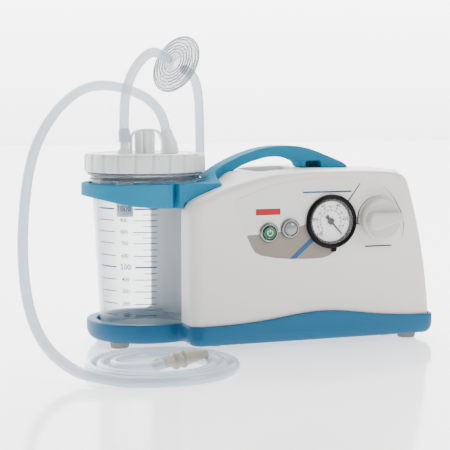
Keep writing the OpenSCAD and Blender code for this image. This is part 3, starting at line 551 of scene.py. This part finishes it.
def housing_solid(name, inset):
    """The housing's outer form: its side outline drawn from front to back, with rounded edges."""
    crown = [(p.x, p.y) for p in spline([(x, z, 0) for x, z in CROWN], 3.5)]
    outline = [(LEFT, FLOOR_Z)] + crown
    count = len(outline)
    normals, misses = [], []
    for i in range(count):
        before = Vector(outline[i]) - Vector(outline[i - 1])
        after = Vector(outline[(i + 1) % count]) - Vector(outline[i])
        first = Vector((-before.y, before.x)).normalized()
        second = Vector((-after.y, after.x)).normalized()
        normals.append((first + second) / (1 + first.dot(second)))
        misses.append(abs((first + second).normalized().x))
    radii = [max(3.0, 6 + 6 * m**1.5 - inset) for m in misses]
    stations = [("front", math.radians(a)) for a in range(0, 91, 15)]
    stations += [("middle", t) for t in (0.03, 0.08, 0.14, 0.22, 0.32, 0.5, 0.68, 0.78, 0.86, 0.92, 0.97)]
    stations += [("back", math.radians(a)) for a in range(90, -1, -15)]
    points = []
    for kind, value in stations:
        for (x, z), normal, r in zip(outline, normals, radii):
            if kind == "middle":
                draw = 0.0
                y = FRONT + inset + r + (BACK - FRONT - 2 * inset - 2 * r) * value
            else:
                draw = r * (1 - math.sin(value))
                depth = r * (1 - math.cos(value))
                y = FRONT + inset + depth if kind == "front" else BACK - inset - depth
            px, pz = x - normal.x * (draw + inset), z - normal.y * (draw + inset)
            if normal.y > 0.3 and z > 100:  # the crown is fuller behind the arch
                fuller = max(0.0, FULL_CROWN - z) * swell(-42, -24, x)
                pz += fuller * swell(FRONT + 7, FRONT + 40, y) * (1 - swell(BACK - 40, BACK - 7, y))
            points.append((px, y, pz))
    shares = (0.9, 0.75, 0.55, 0.35, 0.15)
    front_ring, back_ring = points[:count], points[-count:]
    closing = []
    for ring, t, side in [(front_ring, t, -1) for t in shares[::-1]] + [(back_ring, t, 1) for t in shares]:
        out = side * DOME * (1 - t * t)
        closing.append([(HUB[0] + (x - HUB[0]) * t, y + out, HUB[1] + (z - HUB[1]) * t) for x, y, z in ring])
    loops = closing[: len(shares)] + [points[i : i + count] for i in range(0, len(points), count)]
    loops += closing[len(shares) :]
    points, faces = skin(loops)
    last = (len(loops) - 1) * count
    points += [(HUB[0], loops[0][0][1] - 0.01, HUB[1]), (HUB[0], loops[-1][0][1] + 0.01, HUB[1])]
    fans = []
    for i in range(count):
        j = (i + 1) % count
        fans += [(i, j, len(points) - 2), (last + i, last + j, len(points) - 1)]
    return solid(name, points, fans + faces[2:], keep_doubles=True)


def jar_clearance(margin):
    """What the jar, its collar and its base ring take out of the housing."""
    profile = [
        (0, -5), (61 + margin, -5), (61 + margin, 26.5 + margin), (58 + margin, 26.5 + margin),
        (58 + margin, 139.2 - margin), (65.2 + margin, 139.2 - margin), (65.2 + margin, 210), (0, 210),
    ]
    return lathe("clearance", profile, ON_JAR_AXIS, sides=128)


def finger_scoop(margin):
    outline = box_outline((-4 - margin, -24.5 - margin), (50 + margin, 47.5 + margin), 9 + margin)
    return prism("scoop", outline, 164 - margin, 220)


def panel_holes():
    """Cutters for everything that passes through the front panel."""
    sizes = ((GAUGE_AT, 25.7), (KNOB_AT, 7.1), (SWITCH_AT, 8.1), (LAMP_AT, 8.1))
    return [lathe("hole", [(0, -12), (r, -12), (r, 12), (0, 12)], on_panel(at), sides=64) for at, r in sizes]


housing = housing_solid("housing_shell", 0)
core = combine(housing_solid("core", WALL), [jar_clearance(WALL), finger_scoop(WALL)])
combine(housing, [core, jar_clearance(0), finger_scoop(0)])

holes = panel_holes()
holes.append(lathe("hole", [(0, 150), (6.1, 150), (6.1, 185), (0, 185)], place((*SPIGOT_AT, 0)), sides=48))
on_back = place((0, BACK, 0), (90, 0, 0))
holes.append(prism("hole", box_outline((INLET_X - 14, 50), (INLET_X + 14, 96), 1.5), -12, 12, on_back))
for row, (first, pitch, width, low, high) in enumerate(((-20, 11, 4, 100, 134), (-48, 8, 3, 24, 46))):
    for i in range(9 - 3 * row):
        left = first + pitch * i
        outline = box_outline((left, low), (left + width, high), width * 0.49)
        holes.append(prism("vent", outline, -12, 12, on_back))
combine(housing, holes)
even_shading(housing)
dress(housing, "shell_plastic", "unit", "upper_housing")


# ---- base tray
TRAY_HUB = (-70, 15)


def tray_edge(x):
    return 26 + 9.5 * math.exp(-(((x - 48) / 60) ** 2))


def tray_distance(x, y):
    """Signed distance to the tray's plan, a rounded block that flows into the jar's ring."""
    middle_x, middle_y, half_x, half_y, corner = 42, 7.5, 133, 82, 15
    dx = max(abs(x - middle_x) - half_x + corner, -1000)
    dy = max(abs(y - middle_y) - half_y + corner, -1000)
    block = math.hypot(max(dx, 0), max(dy, 0)) + min(max(dx, dy), 0) - corner
    ring = math.hypot(x - JAR_AT[0], y - JAR_AT[1]) - 60.5
    blend = 7.0
    share = max(blend - abs(block - ring), 0) / blend
    return min(block, ring) - share * share * blend / 4


def tray_reach(turn, inset):
    """How far the tray's plan, drawn in by the inset, reaches from its hub in a direction."""
    low, high = 0.0, 320.0
    for _ in range(22):
        reach = (low + high) / 2
        x, y = TRAY_HUB[0] + reach * math.cos(turn), TRAY_HUB[1] + reach * math.sin(turn)
        if tray_distance(x, y) < -inset:
            low = reach
        else:
            high = reach
    return low


def tray_solid():
    """The tray's outer form in levels of (height, inset), counted from the floor or from its wavy edge."""
    levels = [(6, 6.2, "flat"), (6.4, 4.9, "flat"), (8, 3.0, "flat"), (10.5, 1.3, "flat"), (14, 0.3, "flat"),
              (17, 0, "flat"), (-3, 0, "edge"), (-1.2, 0.25, "edge"), (-0.4, 0.8, "edge"), (0, 1.7, "edge"),
              (0, 3.0, "edge"), (-2.4, 3.1, "groove"), (-2.4, 12, "groove"), (20, 14, "flat")]
    sides = 600
    reaches = {}
    loops = []
    for level, inset, kind in levels:
        loop = []
        for k in range(sides):
            turn = 2 * math.pi * k / sides
            if (k, inset) not in reaches:
                reaches[k, inset] = tray_reach(turn, inset)
            x = TRAY_HUB[0] + reaches[k, inset] * math.cos(turn)
            y = TRAY_HUB[1] + reaches[k, inset] * math.sin(turn)
            on_ring = swell(-88, -96, x)
            above = level * (1 - on_ring) if kind == "groove" else level
            loop.append((x, y, level if kind == "flat" else tray_edge(x) - on_ring + above))
        loops.append(loop)
    return solid("base_shell", *skin(loops), keep_doubles=True)


base = tray_solid()
well = lathe("well", [(0, 12), (49.3, 12), (50.3, 13), (50.3, 24), (51.6, 25.6), (51.6, 60), (0, 60)],
             ON_JAR_AXIS, sides=160)
combine(base, [well])
even_shading(base)
dress(base, "base_plastic", "unit", "base_tray")

FOOT_PROFILE = [(0, 0), (8.4, 0, 0.6), (9, 0.8, 0.5), (10, 6.4), (0, 6.4)]
for i, (x, y) in enumerate(((-146, -12), (-146, 47), (150, -54), (150, 69))):
    foot = moulded("foot_%d" % (i + 1), FOOT_PROFILE, 0.1, place((x, y, 0)), sides=48)
    dress(foot, "rubber_grey", "unit", "rubber_feet")


# ---- handle and collar
def handle_root():
    """The swelling between the arch's front side and the shoulder's front corner."""
    arch_front, shoulder_front, jar_room, foot, shoulder = -1.0, -45.5, 57.6, 155, 163.7
    loops = []
    for k in range(13):
        t = k / 12
        y = arch_front + (shoulder_front - arch_front) * t
        reach = jar_room**2 - (y - JAR_AT[1]) ** 2
        left = max(-62, JAR_AT[0] + math.sqrt(max(0.0, reach)))
        right = -39 - 10 * t**0.45
        crest = 174.6 - 10.4 * t**0.75
        middle = left + (right - left) * 0.55
        loops.append([(left, y, foot), (right, y, foot), (right, y, crest - 1.5), (right - 1.5, y, crest),
                      (middle, y, shoulder + (crest - shoulder) * 0.62), (left, y, shoulder)])
    return solid("root", *skin(loops))


def softened_copy(name, node, voxel, passes, extra):
    """A copy of a node's shape, and one more solid, with every edge rounded like a moulding's."""
    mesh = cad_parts[node].data.copy()
    work = bmesh.new()
    work.from_mesh(mesh)
    work.from_mesh(extra.data)
    bpy.data.objects.remove(extra)
    bmesh.ops.remove_doubles(work, verts=work.verts, dist=1e-6)
    work.to_mesh(mesh)
    work.free()
    piece = bpy.data.objects.new(name, mesh)
    bpy.context.scene.collection.objects.link(piece)
    remesh = piece.modifiers.new("voxels", "REMESH")
    remesh.mode = "VOXEL"
    remesh.voxel_size = voxel * MM
    smooth = piece.modifiers.new("smooth", "SMOOTH")
    smooth.factor = 0.5
    smooth.iterations = passes
    return applied(piece, sharp=60)


handle = softened_copy("carry_handle", "handle_collar", 0.95, 5, handle_root())
slot_outline = box_outline((57.6, -2.6), (72, 2.6), 0)
combine(handle, [prism("slot", slot_outline, 130, 190, place((*JAR_AT, 0), (0, 0, NOTCH_TURN)))])
dress(handle, "handle_plastic", "unit", "handle_collar")

# ---- front panel
LABEL = [
    (-47, 146.5, 6), (-38, 126), (-33.6, 113.8), (-28, 102), (-24.5, 96.5), (-18, 93.2), (-4, 90.2),
    (12, 88.6), (28.7, 87.9), (78, 88.6), (120, 90.4), (128, 92.5), (134, 98), (137.5, 107), (139, 118),
    (136, 132), (128, 146), (119, 156.5), (104, 163.5), (85, 167), (60, 168.4), (25, 167.6), (-10, 161.2),
    (-30, 153.6),
]
label_outline = rounded(LABEL, 25, closed=True)
label = prism("panel_label", label_outline, 0, 0.4, on_panel((0, 0)))
combine(label, panel_holes())
dress(label, "label_film", "unit", "control_label")


def printed(name, outline, finish_name, height=0.08, pierced=False):
    """A thin patch on the label, mostly print; one is a strip of painted shade."""
    patch = prism(name, outline, 0, height, on_panel((0, 0), 0.4))
    if pierced:
        combine(patch, panel_holes())
    return dress(patch, finish_name, "unit", slot="label_film")


def arc(centre, radius, start, end, width_start, width_end, steps=36):
    """A curved line of tapering width."""
    outer, inner = [], []
    for k in range(steps + 1):
        t = k / steps
        half = (width_start + (width_end - width_start) * t) / 2
        for side, reach in ((outer, radius + half), (inner, radius - half)):
            x, y = polar(reach, start + (end - start) * t)
            side.append((centre[0] + x, centre[1] + y))
    return outer + inner[::-1]


TAUPE = [
    (-33.2, 113.8), (-19, 114.1), (-2, 115.2), (12, 118), (24, 121), (33, 124), (56, 110), (63.5, 97),
    (59, 93.2), (53.5, 90), (46.7, 88.4), (28.7, 88.2), (12, 88.9), (-4, 90.5), (-18, 93.5), (-24.2, 96.8),
    (-27.7, 102.2),
]
STRIPE = [(11.9, 88.7), (18.7, 88.6), (44, 110.5), (38, 112)]
printed("print_zone", rounded(TAUPE, 1.5, closed=True), "label_taupe", pierced=True)
printed("print_stripe", STRIPE, "print_blue", 0.12, pierced=True)
printed("print_line", [(72, 141.6), (73.2, 140.8), (88.7, 161.8), (87.9, 162.4)], "print_navy")
printed("print_arc_knob", arc(KNOB_AT, 23.4, 192, 84, 1.5, 0.3), "print_navy")
printed("print_arc_mark", [(83.4, 121.6), (88.4, 120.4), (88.6, 121.2), (83.6, 122.4)], "print_navy")
# A grey strip of painted shade just inside the label's right edge.
edge = sorted([(x, z) for x, z in label_outline if x > 112 and 103 < z < 160], key=lambda p: p[1])
inner_edge = [(x - 1.2 - 0.9 * math.sin(math.pi * i / (len(edge) - 1)), z) for i, (x, z) in enumerate(edge)]
printed("painted_shade_label_edge", [(x - 1.2, z) for x, z in edge] + inner_edge[::-1], "print_and_shade_grey")
printed("print_badge", box_outline((-23.4, 133), (2.4, 139.2), 0.9), "print_red")
printed("print_bar_title", box_outline((26, 153.6), (79, 155.2), 0.7), "print_blue")
printed("print_bar_knob", box_outline((94, 97.6), (124, 99), 0.6), "print_and_shade_grey")

# ---- vacuum gauge
ON_GAUGE = on_panel(GAUGE_AT)
ZERO_TURN, SCALE_TURN = -48, 276
BEZEL_PROFILE = [
    (27, 0.4, 0.8), (27, 3.6, 2.2), (25.6, 5.5, 1.2), (24.0, 5.5, 1), (20.2, 1.2, 0.6), (20.2, 0.4),
    (23.3, 0.2), (23.3, -24), (4.05, -24), (4.05, -26), (25.4, -26), (25.4, 0.4),
]
TAB = [(0.8, -25.5, 0.5), (0.2, -30.4, 0.6), (4.4, -30.2, 0.6), (5.4, -24.5, 0.5)]
case = moulded("gauge_bezel", BEZEL_PROFILE, 0.3, ON_GAUGE, sides=128, closed=True)
combine(case, [prism("tab", rounded(TAB, 0.5, closed=True), 0.4, 3.8, ON_GAUGE)], "UNION")
even_shading(case)
dress(case, "black_plastic", "unit", "gauge_case")
DIAL_PROFILE = [(1.2, -1), (23.2, -1), (23.2, -0.2), (1.2, -0.2)]
dial = moulded("gauge_dial_plate", DIAL_PROFILE, 0.1, ON_GAUGE, sides=96, closed=True)
dress(dial, "dial_print", "unit", "gauge_dial")


def dial_marks():
    """The dial's printed scale: an outer scale with figures and an inner one of ticks."""
    black, red = ([], []), ([], [])

    def tick(store, turn, inner, outer, half):
        a = math.radians(turn)
        out, across = Vector((math.cos(a), math.sin(a))), Vector((-math.sin(a), math.cos(a)))
        corners = ((inner, -half), (outer, -half), (outer, half), (inner, half))
        gather(store, [tuple(out * r + across * w) for r, w in corners], [range(4)])

    for k in range(51):
        turn = ZERO_TURN + SCALE_TURN * k / 50
        inner, half = (12.8, 0.5) if k % 5 == 0 else (14.1, 0.2)
        tick(black, turn, inner, 15.4, half)
        if k % 4 == 0:
            tick(red, turn, 9.7, 11.2, 0.35)
    for k in range(46):
        a, b = ZERO_TURN + 6 * k, ZERO_TURN + 6 * (k + 1)
        gather(red, [polar(11.2, a), polar(11.8, a), polar(11.8, b), polar(11.2, b)], [range(4)])
    for k in range(6):
        middle_x, middle_y = polar(17.4, ZERO_TURN + SCALE_TURN * k / 5)
        points, faces = figures(str(k * 20), 3.2)
        gather(black, [(x + middle_x, y + middle_y) for x, y in points], faces)
    looks = (("gauge_scale", black, "needle_black"), ("gauge_scale_inner", red, "print_red"))
    for name, (points, faces), look in looks:
        mark = solid(name, [(x, y, -0.12) for x, y in points], faces, ON_GAUGE)
        dress(mark, look, "unit", slot="dial_print")


dial_marks()
NEEDLE = [(-7.4, -2.1, 0.4), (-7.4, 2.1, 0.4), (-2, 1.1), (14, 0.6), (18.4, 0), (14, -0.6), (-2, -1.1)]
HUB_PROFILE = [(0, -8), (0.9, -8), (0.9, 0.6), (3.4, 0.6, 0.2), (3.4, 1.6, 0.5), (1.2, 2, 0.3), (0, 2)]
at_zero = ON_GAUGE @ place((0, 0, 0), (0, 0, ZERO_TURN))
needle = prism("gauge_pointer", rounded(NEEDLE, 0.2, closed=True), 0.8, 1.3, at_zero)
combine(needle, [moulded("hub", HUB_PROFILE, 0.1, ON_GAUGE, sides=40)], "UNION")
dress(needle, "needle_black", "needle", "gauge_needle")
window_profile = [(0, 3.6), (22.2, 3.6), (22.6, 4.2)] + dome(22.6, 4.2, 0.9, range(10, 90, 10))
window = lathe("gauge_glass", window_profile, ON_GAUGE, sides=96)
dress(window, "clear_window", "unit", "gauge_window")

# ---- switch and lamp
BEZELS = (("switch_ring", SWITCH_AT, 7.1, "switch_bezel"), ("lamp_ring", LAMP_AT, 6.8, "lamp_bezel"))
for name, at, hole, node in BEZELS:
    profile = [(10, 0.4, 0.3), (10, 1.6, 0.8), (8.9, 3.4, 0.6), (hole + 0.4, 3.4, 0.4), (hole, 2.6, 0.3),
               (hole, -7), (7.9, -7), (7.9, 0.4)]
    dress(moulded(name, profile, 0.2, on_panel(at), sides=80, closed=True), "bezel_chrome", "unit", node)
ON_SWITCH = on_panel(SWITCH_AT)
BUTTON_PROFILE = [
    (0, -15), (3, -15), (3, -4), (6.7, -4), (6.7, 3.6, 0.9), (5.4, 5.0, 0.8), (4.9, 4.7, 0.4), (0, 4.5),
]
button = moulded("power_button", BUTTON_PROFILE, 0.3, ON_SWITCH, sides=64)
dress(button, "green_plastic", "button", "switch_button")
mark = prism("power_mark", arc((0, 0), 2.7, 60, -240, 0.75, 0.75), 4.5, 4.72, ON_SWITCH)
dress(mark, "button_glow", "button", slot="green_plastic")
bar = prism("power_mark_bar", box_outline((-0.4, 0.6), (0.4, 3.6), 0.2), 4.5, 4.72, ON_SWITCH)
dress(bar, "button_glow", "button", slot="green_plastic")
lens_profile = [(0, -6), (6.7, -6), (6.7, 2.6)] + dome(6.6, 2.8, 3.2, range(0, 90, 9))
dress(lathe("lamp_dome", lens_profile, on_panel(LAMP_AT), sides=64), "lens_plastic", "unit", "lamp_lens")

# ---- regulator knob
KNOB_PROFILE = [
    (0, -11.7), (3, -11.7), (3, 3.9), (20.8, 3.9, 0.5), (21.5, 5.2, 0.6), (21.2, 9.4, 1.4), (19.4, 11.2, 0.8),
    (17.6, 10.6, 0.8), (0, 10.2),
]
knob = moulded("regulator_dial", KNOB_PROFILE, 0.3, on_panel(KNOB_AT), sides=96)


def grip_bar():
    """The knob's grip: a bar with sloping sides that narrows to the right."""
    loops = []
    steps = ((9.8, 1.4), (11, 1.0), (14, 0.4), (17, 0.0), (18.2, -0.5), (18.9, -1.4), (19.05, -2.6))
    for height, spread in steps:
        left, right = -10, 15 + (0.4 if spread < 0 else 0)
        wide_end = [polar(8.6 + spread, 90 + 180 * k / 16) for k in range(17)]
        slim_end = [polar(4.6 + spread * 0.8, -90 + 180 * k / 12) for k in range(13)]
        loop = [(left + x * 0.94, y, height) for x, y in wide_end]
        loops.append(loop + [(right + x, y, height) for x, y in slim_end])
    return solid("grip", *skin(loops), on_panel(KNOB_AT) @ place((0, 0, 0), (0, 0, 9)))


combine(knob, [grip_bar()], "UNION")
even_shading(knob)
dress(knob, "knob_plastic", "knob", "regulator_knob")


# ---- jar
def jar_outer(z):
    """Outer radius of the jar's tapering wall."""
    return 46.5 + (54 - 46.5) * (z - 15.7) / (164 - 15.7)


JAR_PROFILE = [
    (0, 13.3), (20, 13.3), (22, 12.3), (43.5, 12.3, 0.6), (45.7, 13.3, 1), (46.5, 15.7, 2), (54, 164, 1),
    (54, 169.6, 0.5), (58.6, 170.8, 0.6), (58.6, 173, 0.6), (54, 173.8, 0.5), (54, 176), (54.9, 177, 0.4),
    (54.9, 178.6, 0.4), (54, 179.6), (54, 181.5), (54.9, 182.5, 0.4), (54.9, 183.6, 0.4), (54, 184.6),
    (54, 185.7, 0.5), (51, 185.7, 0.5), (51.5, 160), (44, 18.3, 2), (41, 15.7, 1), (0, 15.7),
]
FLANGE_PROFILE = [
    (54.1, 165.6, 0.2), (57.2, 166.2, 0.4), (57.2, 167.4, 0.4), (55.0, 168.2), (55, 169.8), (58.9, 171, 0.4),
    (58.9, 172.9, 0.4), (54.1, 173.6),
]
jar = moulded("jar_glass", JAR_PROFILE, 0.5, ON_JAR_AXIS, sides=160, steps=3)
dress(jar, "jar_clear", "canister", "jar")
# A darker shell over the jar's clear flange, painted shade where its thick edge looks dark.
flange = moulded("jar_flange_edge", FLANGE_PROFILE, 0.2, ON_JAR_AXIS, sides=128, closed=True)
dress(flange, "flange_painted_shade", "canister", slot="jar_clear")


def on_jar(x, z, turn, proud):
    """A point on the jar's wall, x millimetres round from a direction."""
    r = jar_outer(z) + proud
    a = math.radians(turn) + x / jar_outer(z)
    return (JAR_AT[0] + r * math.cos(a), JAR_AT[1] + r * math.sin(a), z)


def jar_print(name, marks, finish_name):
    """Marks on the jar: bands of (start turn, end turn, z, width), figures of (text, turn, z, size)."""
    store = ([], [])
    for start, end, z, width in marks[0]:
        steps = max(2, round((end - start) / 2.5))
        turns = [start + (end - start) * k / steps for k in range(steps + 1)]
        for proud in (0.06, 0.16):
            band = [on_jar(0, z + side * width / 2, turn, proud) for turn in turns for side in (-1, 1)]
            gather(store, band, [(i, i + 2, i + 3, i + 1) for i in range(0, 2 * steps, 2)])
    for text, turn, z, size in marks[1]:
        shape, faces = figures(text, size)
        gather(store, [on_jar(x, z + y, turn, 0.14) for x, y in shape], faces)
    return dress(solid(name, *store, keep_doubles=True), finish_name, "canister", slot="jar_clear")


JAR_LEVELS = {
    1000: 139.1, 900: 127.6, 800: 116.2, 700: 104.9, 600: 92.5, 500: 81.3, 400: 68.8, 300: 56.9, 200: 44.5,
    100: 33.0,
}
bold_bands, bold_figures, thin_bands, thin_figures = [], [], [], []
for volume, z in JAR_LEVELS.items():
    if volume % 500 == 0:
        bold_bands += [(193.5, 219.5, z, 1.5), (242.5, 267.5, z, 1.5)]
        bold_figures.append((str(volume), 231.0, z, 5.4))
    else:
        thin_bands += [(193, 218.5, z, 0.8), (241, 267.5, z, 0.8)]
        thin_figures.append((str(volume), 230.6, z, 3.8))
    if volume < 1000:
        above = JAR_LEVELS[volume + 100]
        thin_bands.append((252, 267.5, (z + above) / 2, 0.7))
jar_print("jar_marks_bold", (bold_bands, bold_figures), "print_blue")
jar_print("jar_marks_fine", (thin_bands, thin_figures), "print_and_shade_grey")

# ---- lid parts
SCALLOPS = 22


def scalloped(r, turn):
    """Narrow upright grooves around the screw ring's outside."""
    if r < 60:
        return r
    phase = turn * SCALLOPS / (2 * math.pi) % 1.0
    near = min(phase, 1 - phase)
    groove = max(0.0, 1 - near / 0.14) ** 1.2
    flat = 0.35 * (1 - (2 * near) ** 2)
    return r - 2.4 * groove - flat


RING_PROFILE = [
    (57, 174, 0.4), (60.6, 174, 0.4), (61.5, 175, 0.6), (61.5, 189.2, 0.8), (60.1, 192.0, 1.0),
    (56, 192.4, 0.8), (48.4, 192.4, 0.6), (47.8, 191.8, 0.4), (47.8, 188.9), (57, 188.9),
]
ring = moulded("screw_cap", RING_PROFILE, 0.3, ON_JAR_AXIS, sides=660, closed=True, radius_at=scalloped)
dress(ring, "cap_plastic", "ring_cap", "screw_ring")
LID_PROFILE = [
    (0, 187), (48, 187), (48, 181), (50.4, 181), (50.4, 187), (55.6, 187), (55.6, 188.6), (47, 188.6),
    (46.6, 191.4, 0.6), (45, 192, 0.6), (39, 192, 0.5), (38, 191.2, 0.5), (20, 191.2, 0.5), (19, 192, 0.5),
    (0, 192),
]
PORT_PROFILE = [
    (2.4, 183), (6.4, 183), (6.4, 189), (8.6, 191.5, 1), (7.6, 192.6, 1), (5.6, 196.2, 1), (4.2, 196.6),
    (5, 196.8, 0.2), (4.2, 198.6), (5, 198.8, 0.2), (4.2, 200.8), (5, 201, 0.2), (4.2, 203), (4.0, 206),
    (2.4, 206),
]
BOSS_PROFILE = [(3.5, 179), (5.4, 179), (5.4, 188), (3.5, 188)]
lid = moulded("lid_disc", LID_PROFILE, 0.3, ON_JAR_AXIS, sides=128, steps=3)
for name, profile, at in (("port", PORT_PROFILE, PORT_AT), ("boss", BOSS_PROFILE, ELBOW_AT)):
    combine(lid, [moulded(name, profile, 0.2, place((*at, 0)), sides=48, closed=True)], "UNION")
even_shading(lid)
dress(lid, "lid_plastic", "canister", "jar_lid")
SLEEVE_PROFILE = [(5.05, 203.2), (5.9, 203.2, 0.4), (6.0, 213, 1), (5.6, 216.4, 0.6), (5.05, 217)]
sleeve = moulded("jar_hose_sleeve", SLEEVE_PROFILE, 0.2, place((*PORT_AT, 0)), sides=48, closed=True)
dress(sleeve, "hose_pvc", "canister")


def fluted(r, turn):
    """Eight rounded lobes around the lid knob."""
    if r < 5:
        return r
    lobe = abs(math.cos(4 * turn))
    return r - 3.4 * (1 - lobe) ** 1.4


GRIP_PROFILE = [(0, 191), (10.6, 191), (10.6, 212.6, 1.0), (9.6, 214.2, 0.8), (0, 214.2)]
lid_knob = moulded("lid_grip", GRIP_PROFILE, 0.3, ON_JAR_AXIS, sides=256, radius_at=fluted)
dress(lid_knob, "lid_plastic", "canister", "lid_knob")
STRAP = [
    (-125, 191.5), (-125.3, 203), (-124.6, 209.5), (-121, 213.6), (-112, 215.3), (-104, 215.3),
    (-98.4, 214.2), (-94.8, 210.8), (-92.6, 206), (-91.4, 203),
]
ELBOW = [(-84.3, 191.4), (-84.4, 195), (-85, 200), (-86.3, 206), (-88.6, 214.6)]
strap_path = spline([(x, JAR_AT[1], z) for x, z in STRAP], 1.6)
strap = strip("lid_band", strap_path, 8, 2.1, 0.7)
dress(strap, "lid_plastic", "canister", "lid_strap")
elbow_path = spline([(x, JAR_AT[1], z) for x, z in ELBOW], 1.2)
bulge = [9.4 - 3.2 * swell(0, 1, i / (len(elbow_path) - 1)) for i in range(len(elbow_path))]
elbow = tube("patient_port", elbow_path, bulge, sides=48)
bevelled(elbow, 0.6)
dress(elbow, "lid_plastic", "canister", "patient_elbow")

# ---- in-line filter
filter_place = place(FILTER_AT, FILTER_TURN)


def filter_shell(name, side, node):
    """One shell of the filter with its raised rings, hub and rim."""
    outer = [(30.9, 0.15, 0.3), (31, 1.2, 0.5), (29.9, 1.7, 0.4), (29.2, 2.0), (28.6, 3.2, 0.6)]
    for r in (25.4, 21.8, 18.2, 14.6, 11.0, 7.4):
        outer += [(r + 1.0, 2.9, 0.3), (r + 0.8, 4.8, 0.4), (r - 0.4, 4.8, 0.4), (r - 0.8, 2.9, 0.3)]
    outer += [(4.6, 3.6, 0.6), (3.9, 6), (3.8, 12, 0.4), (2.2, 12)]
    inner = [(2.2, 1.6), (26.5, 1.6), (27.4, 0.15)]
    profile = [(r, z * side) for r, z in rounded(outer + inner, 0.2, closed=True)]
    shell = lathe(name, profile, filter_place, sides=128)
    return dress(shell, "filter_clear", "canister", node)


RIDGES = [(30.6, 0.9), (28.9, 2.5), (25.7, 4.8), (22.1, 4.8), (18.5, 4.8), (14.9, 4.8), (11.3, 4.8)]


def ridges(name, side):
    """The filter's thin raised rings on one side, coloured darker than the clear shell as painted shade."""
    thickness, around = 0.5, 8
    store = ([], [])
    for radius, z in RIDGES:
        circle = [polar(thickness, 360 * i / around) for i in range(around)]
        gather(store, *turned([(radius + x, side * z + y) for x, y in circle], 96))
    piece = solid(name, *store, filter_place)
    return dress(piece, "filter_ridge_painted_shade", "canister", slot="filter_clear")


filter_shell("filter_cover_front", 1, "filter_front")
filter_shell("filter_cover_back", -1, "filter_back")
ridges("filter_ridges_front", 1)
ridges("filter_ridges_back", -1)

# ---- nodes that keep their shape
KEPT = {
    "steel": ["housing_screws", "handle_screws", "inlet_pins", "motor_bearings", "cylinder_sleeve",
        "valve_plate"],
    "brass": ["bourdon_tube", "regulator_body", "motor_stator"],
    "black_plastic": ["switch_body", "power_inlet", "fuse_drawer"],
    "cap_plastic": ["inlet_spigot"],
    "dark_steel": ["exhaust_muffler", "motor_rotor", "head_screws", "motor_cradle"],
    "rubber_black": ["exhaust_hose", "inlet_hose", "regulator_hose", "gauge_hose", "rubber_mounts"],
    "cast_aluminium": ["motor_casing", "eccentric", "piston_rod", "crankcase", "cylinder_head"],
    "fan_plastic": ["cooling_fan"],
    "rubber_grey": ["lid_gasket"],
    "cage_plastic": ["float_cage"],
    "float_plastic": ["float"],
    "membrane": ["filter_membrane"],
}
for finish_name, nodes in KEPT.items():
    for node in nodes:
        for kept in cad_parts[node].material_slots:
            kept.material = FINISHES[finish_name]
for node in ("power_inlet", "fuse_drawer", "inlet_pins", "inlet_spigot"):
    bevelled(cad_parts[node], 0.4, segments=2)

# ---- floor and lights
WHITE = (1.0, 1.0, 1.0, 1.0)
floor_material = finish("floor_paint", "f2f2f2", 0.12, drift=0.005, grain=0.0, wear=0.03,
                        Emission_Strength=1.2, Emission_Color=WHITE)
bpy.ops.mesh.primitive_plane_add(size=60, location=(0, 0, -0.0002))
floor = bpy.context.object
floor.name = "floor"
floor.data.materials.append(floor_material)

wall_material = bpy.data.materials.new("wall_glow")
wall_material.use_nodes = True
wall_tree = wall_material.node_tree
wall_shader = wall_tree.nodes["Principled BSDF"]
wall_shader.inputs["Base Color"].default_value = (0.9, 0.9, 0.9, 1.0)
wall_shader.inputs["Emission Color"].default_value = WHITE
wall_height = wall_tree.nodes.new("ShaderNodeTexCoord")
wall_split = wall_tree.nodes.new("ShaderNodeSeparateXYZ")
wall_ramp = wall_tree.nodes.new("ShaderNodeMapRange")
for socket, value in (("From Min", -0.5), ("From Max", -0.38), ("To Min", 3.0), ("To Max", 5.5)):
    wall_ramp.inputs[socket].default_value = value
wall_tree.links.new(wall_height.outputs["Object"], wall_split.inputs["Vector"])
wall_tree.links.new(wall_split.outputs["Y"], wall_ramp.inputs["Value"])
wall_tree.links.new(wall_ramp.outputs["Result"], wall_shader.inputs["Emission Strength"])
bpy.ops.mesh.primitive_plane_add(size=1, location=(0, 6, 4), rotation=(math.pi / 2, 0, 0))
wall = bpy.context.object
wall.name = "backdrop"
wall.scale = (22, 8.2, 1)
wall.data.materials.append(wall_material)

world = bpy.data.worlds.new("studio")
world.use_nodes = True
sky = world.node_tree.nodes["Background"]
sky.inputs["Color"].default_value = WHITE
sky.inputs["Strength"].default_value = 0.2
bpy.context.scene.world = world


def softbox(name, at, aim, size, power):
    lamp = bpy.data.lights.new(name, "AREA")
    lamp.shape = "RECTANGLE"
    lamp.size, lamp.size_y = size
    lamp.energy = power
    holder = bpy.data.objects.new(name, lamp)
    bpy.context.scene.collection.objects.link(holder)
    holder.location = at
    holder.rotation_euler = (Vector(aim) - Vector(at)).to_track_quat("-Z", "Y").to_euler()


softbox("key", (1.0, -1.3, 1.3), (0, 0, 0.1), (0.7, 0.7), 26)
softbox("fill", (-1.4, -1.2, 0.8), (0, 0, 0.1), (1.0, 1.4), 4)
softbox("top", (0.1, 0.5, 1.8), (0, 0, 0.1), (1.6, 1.0), 34)
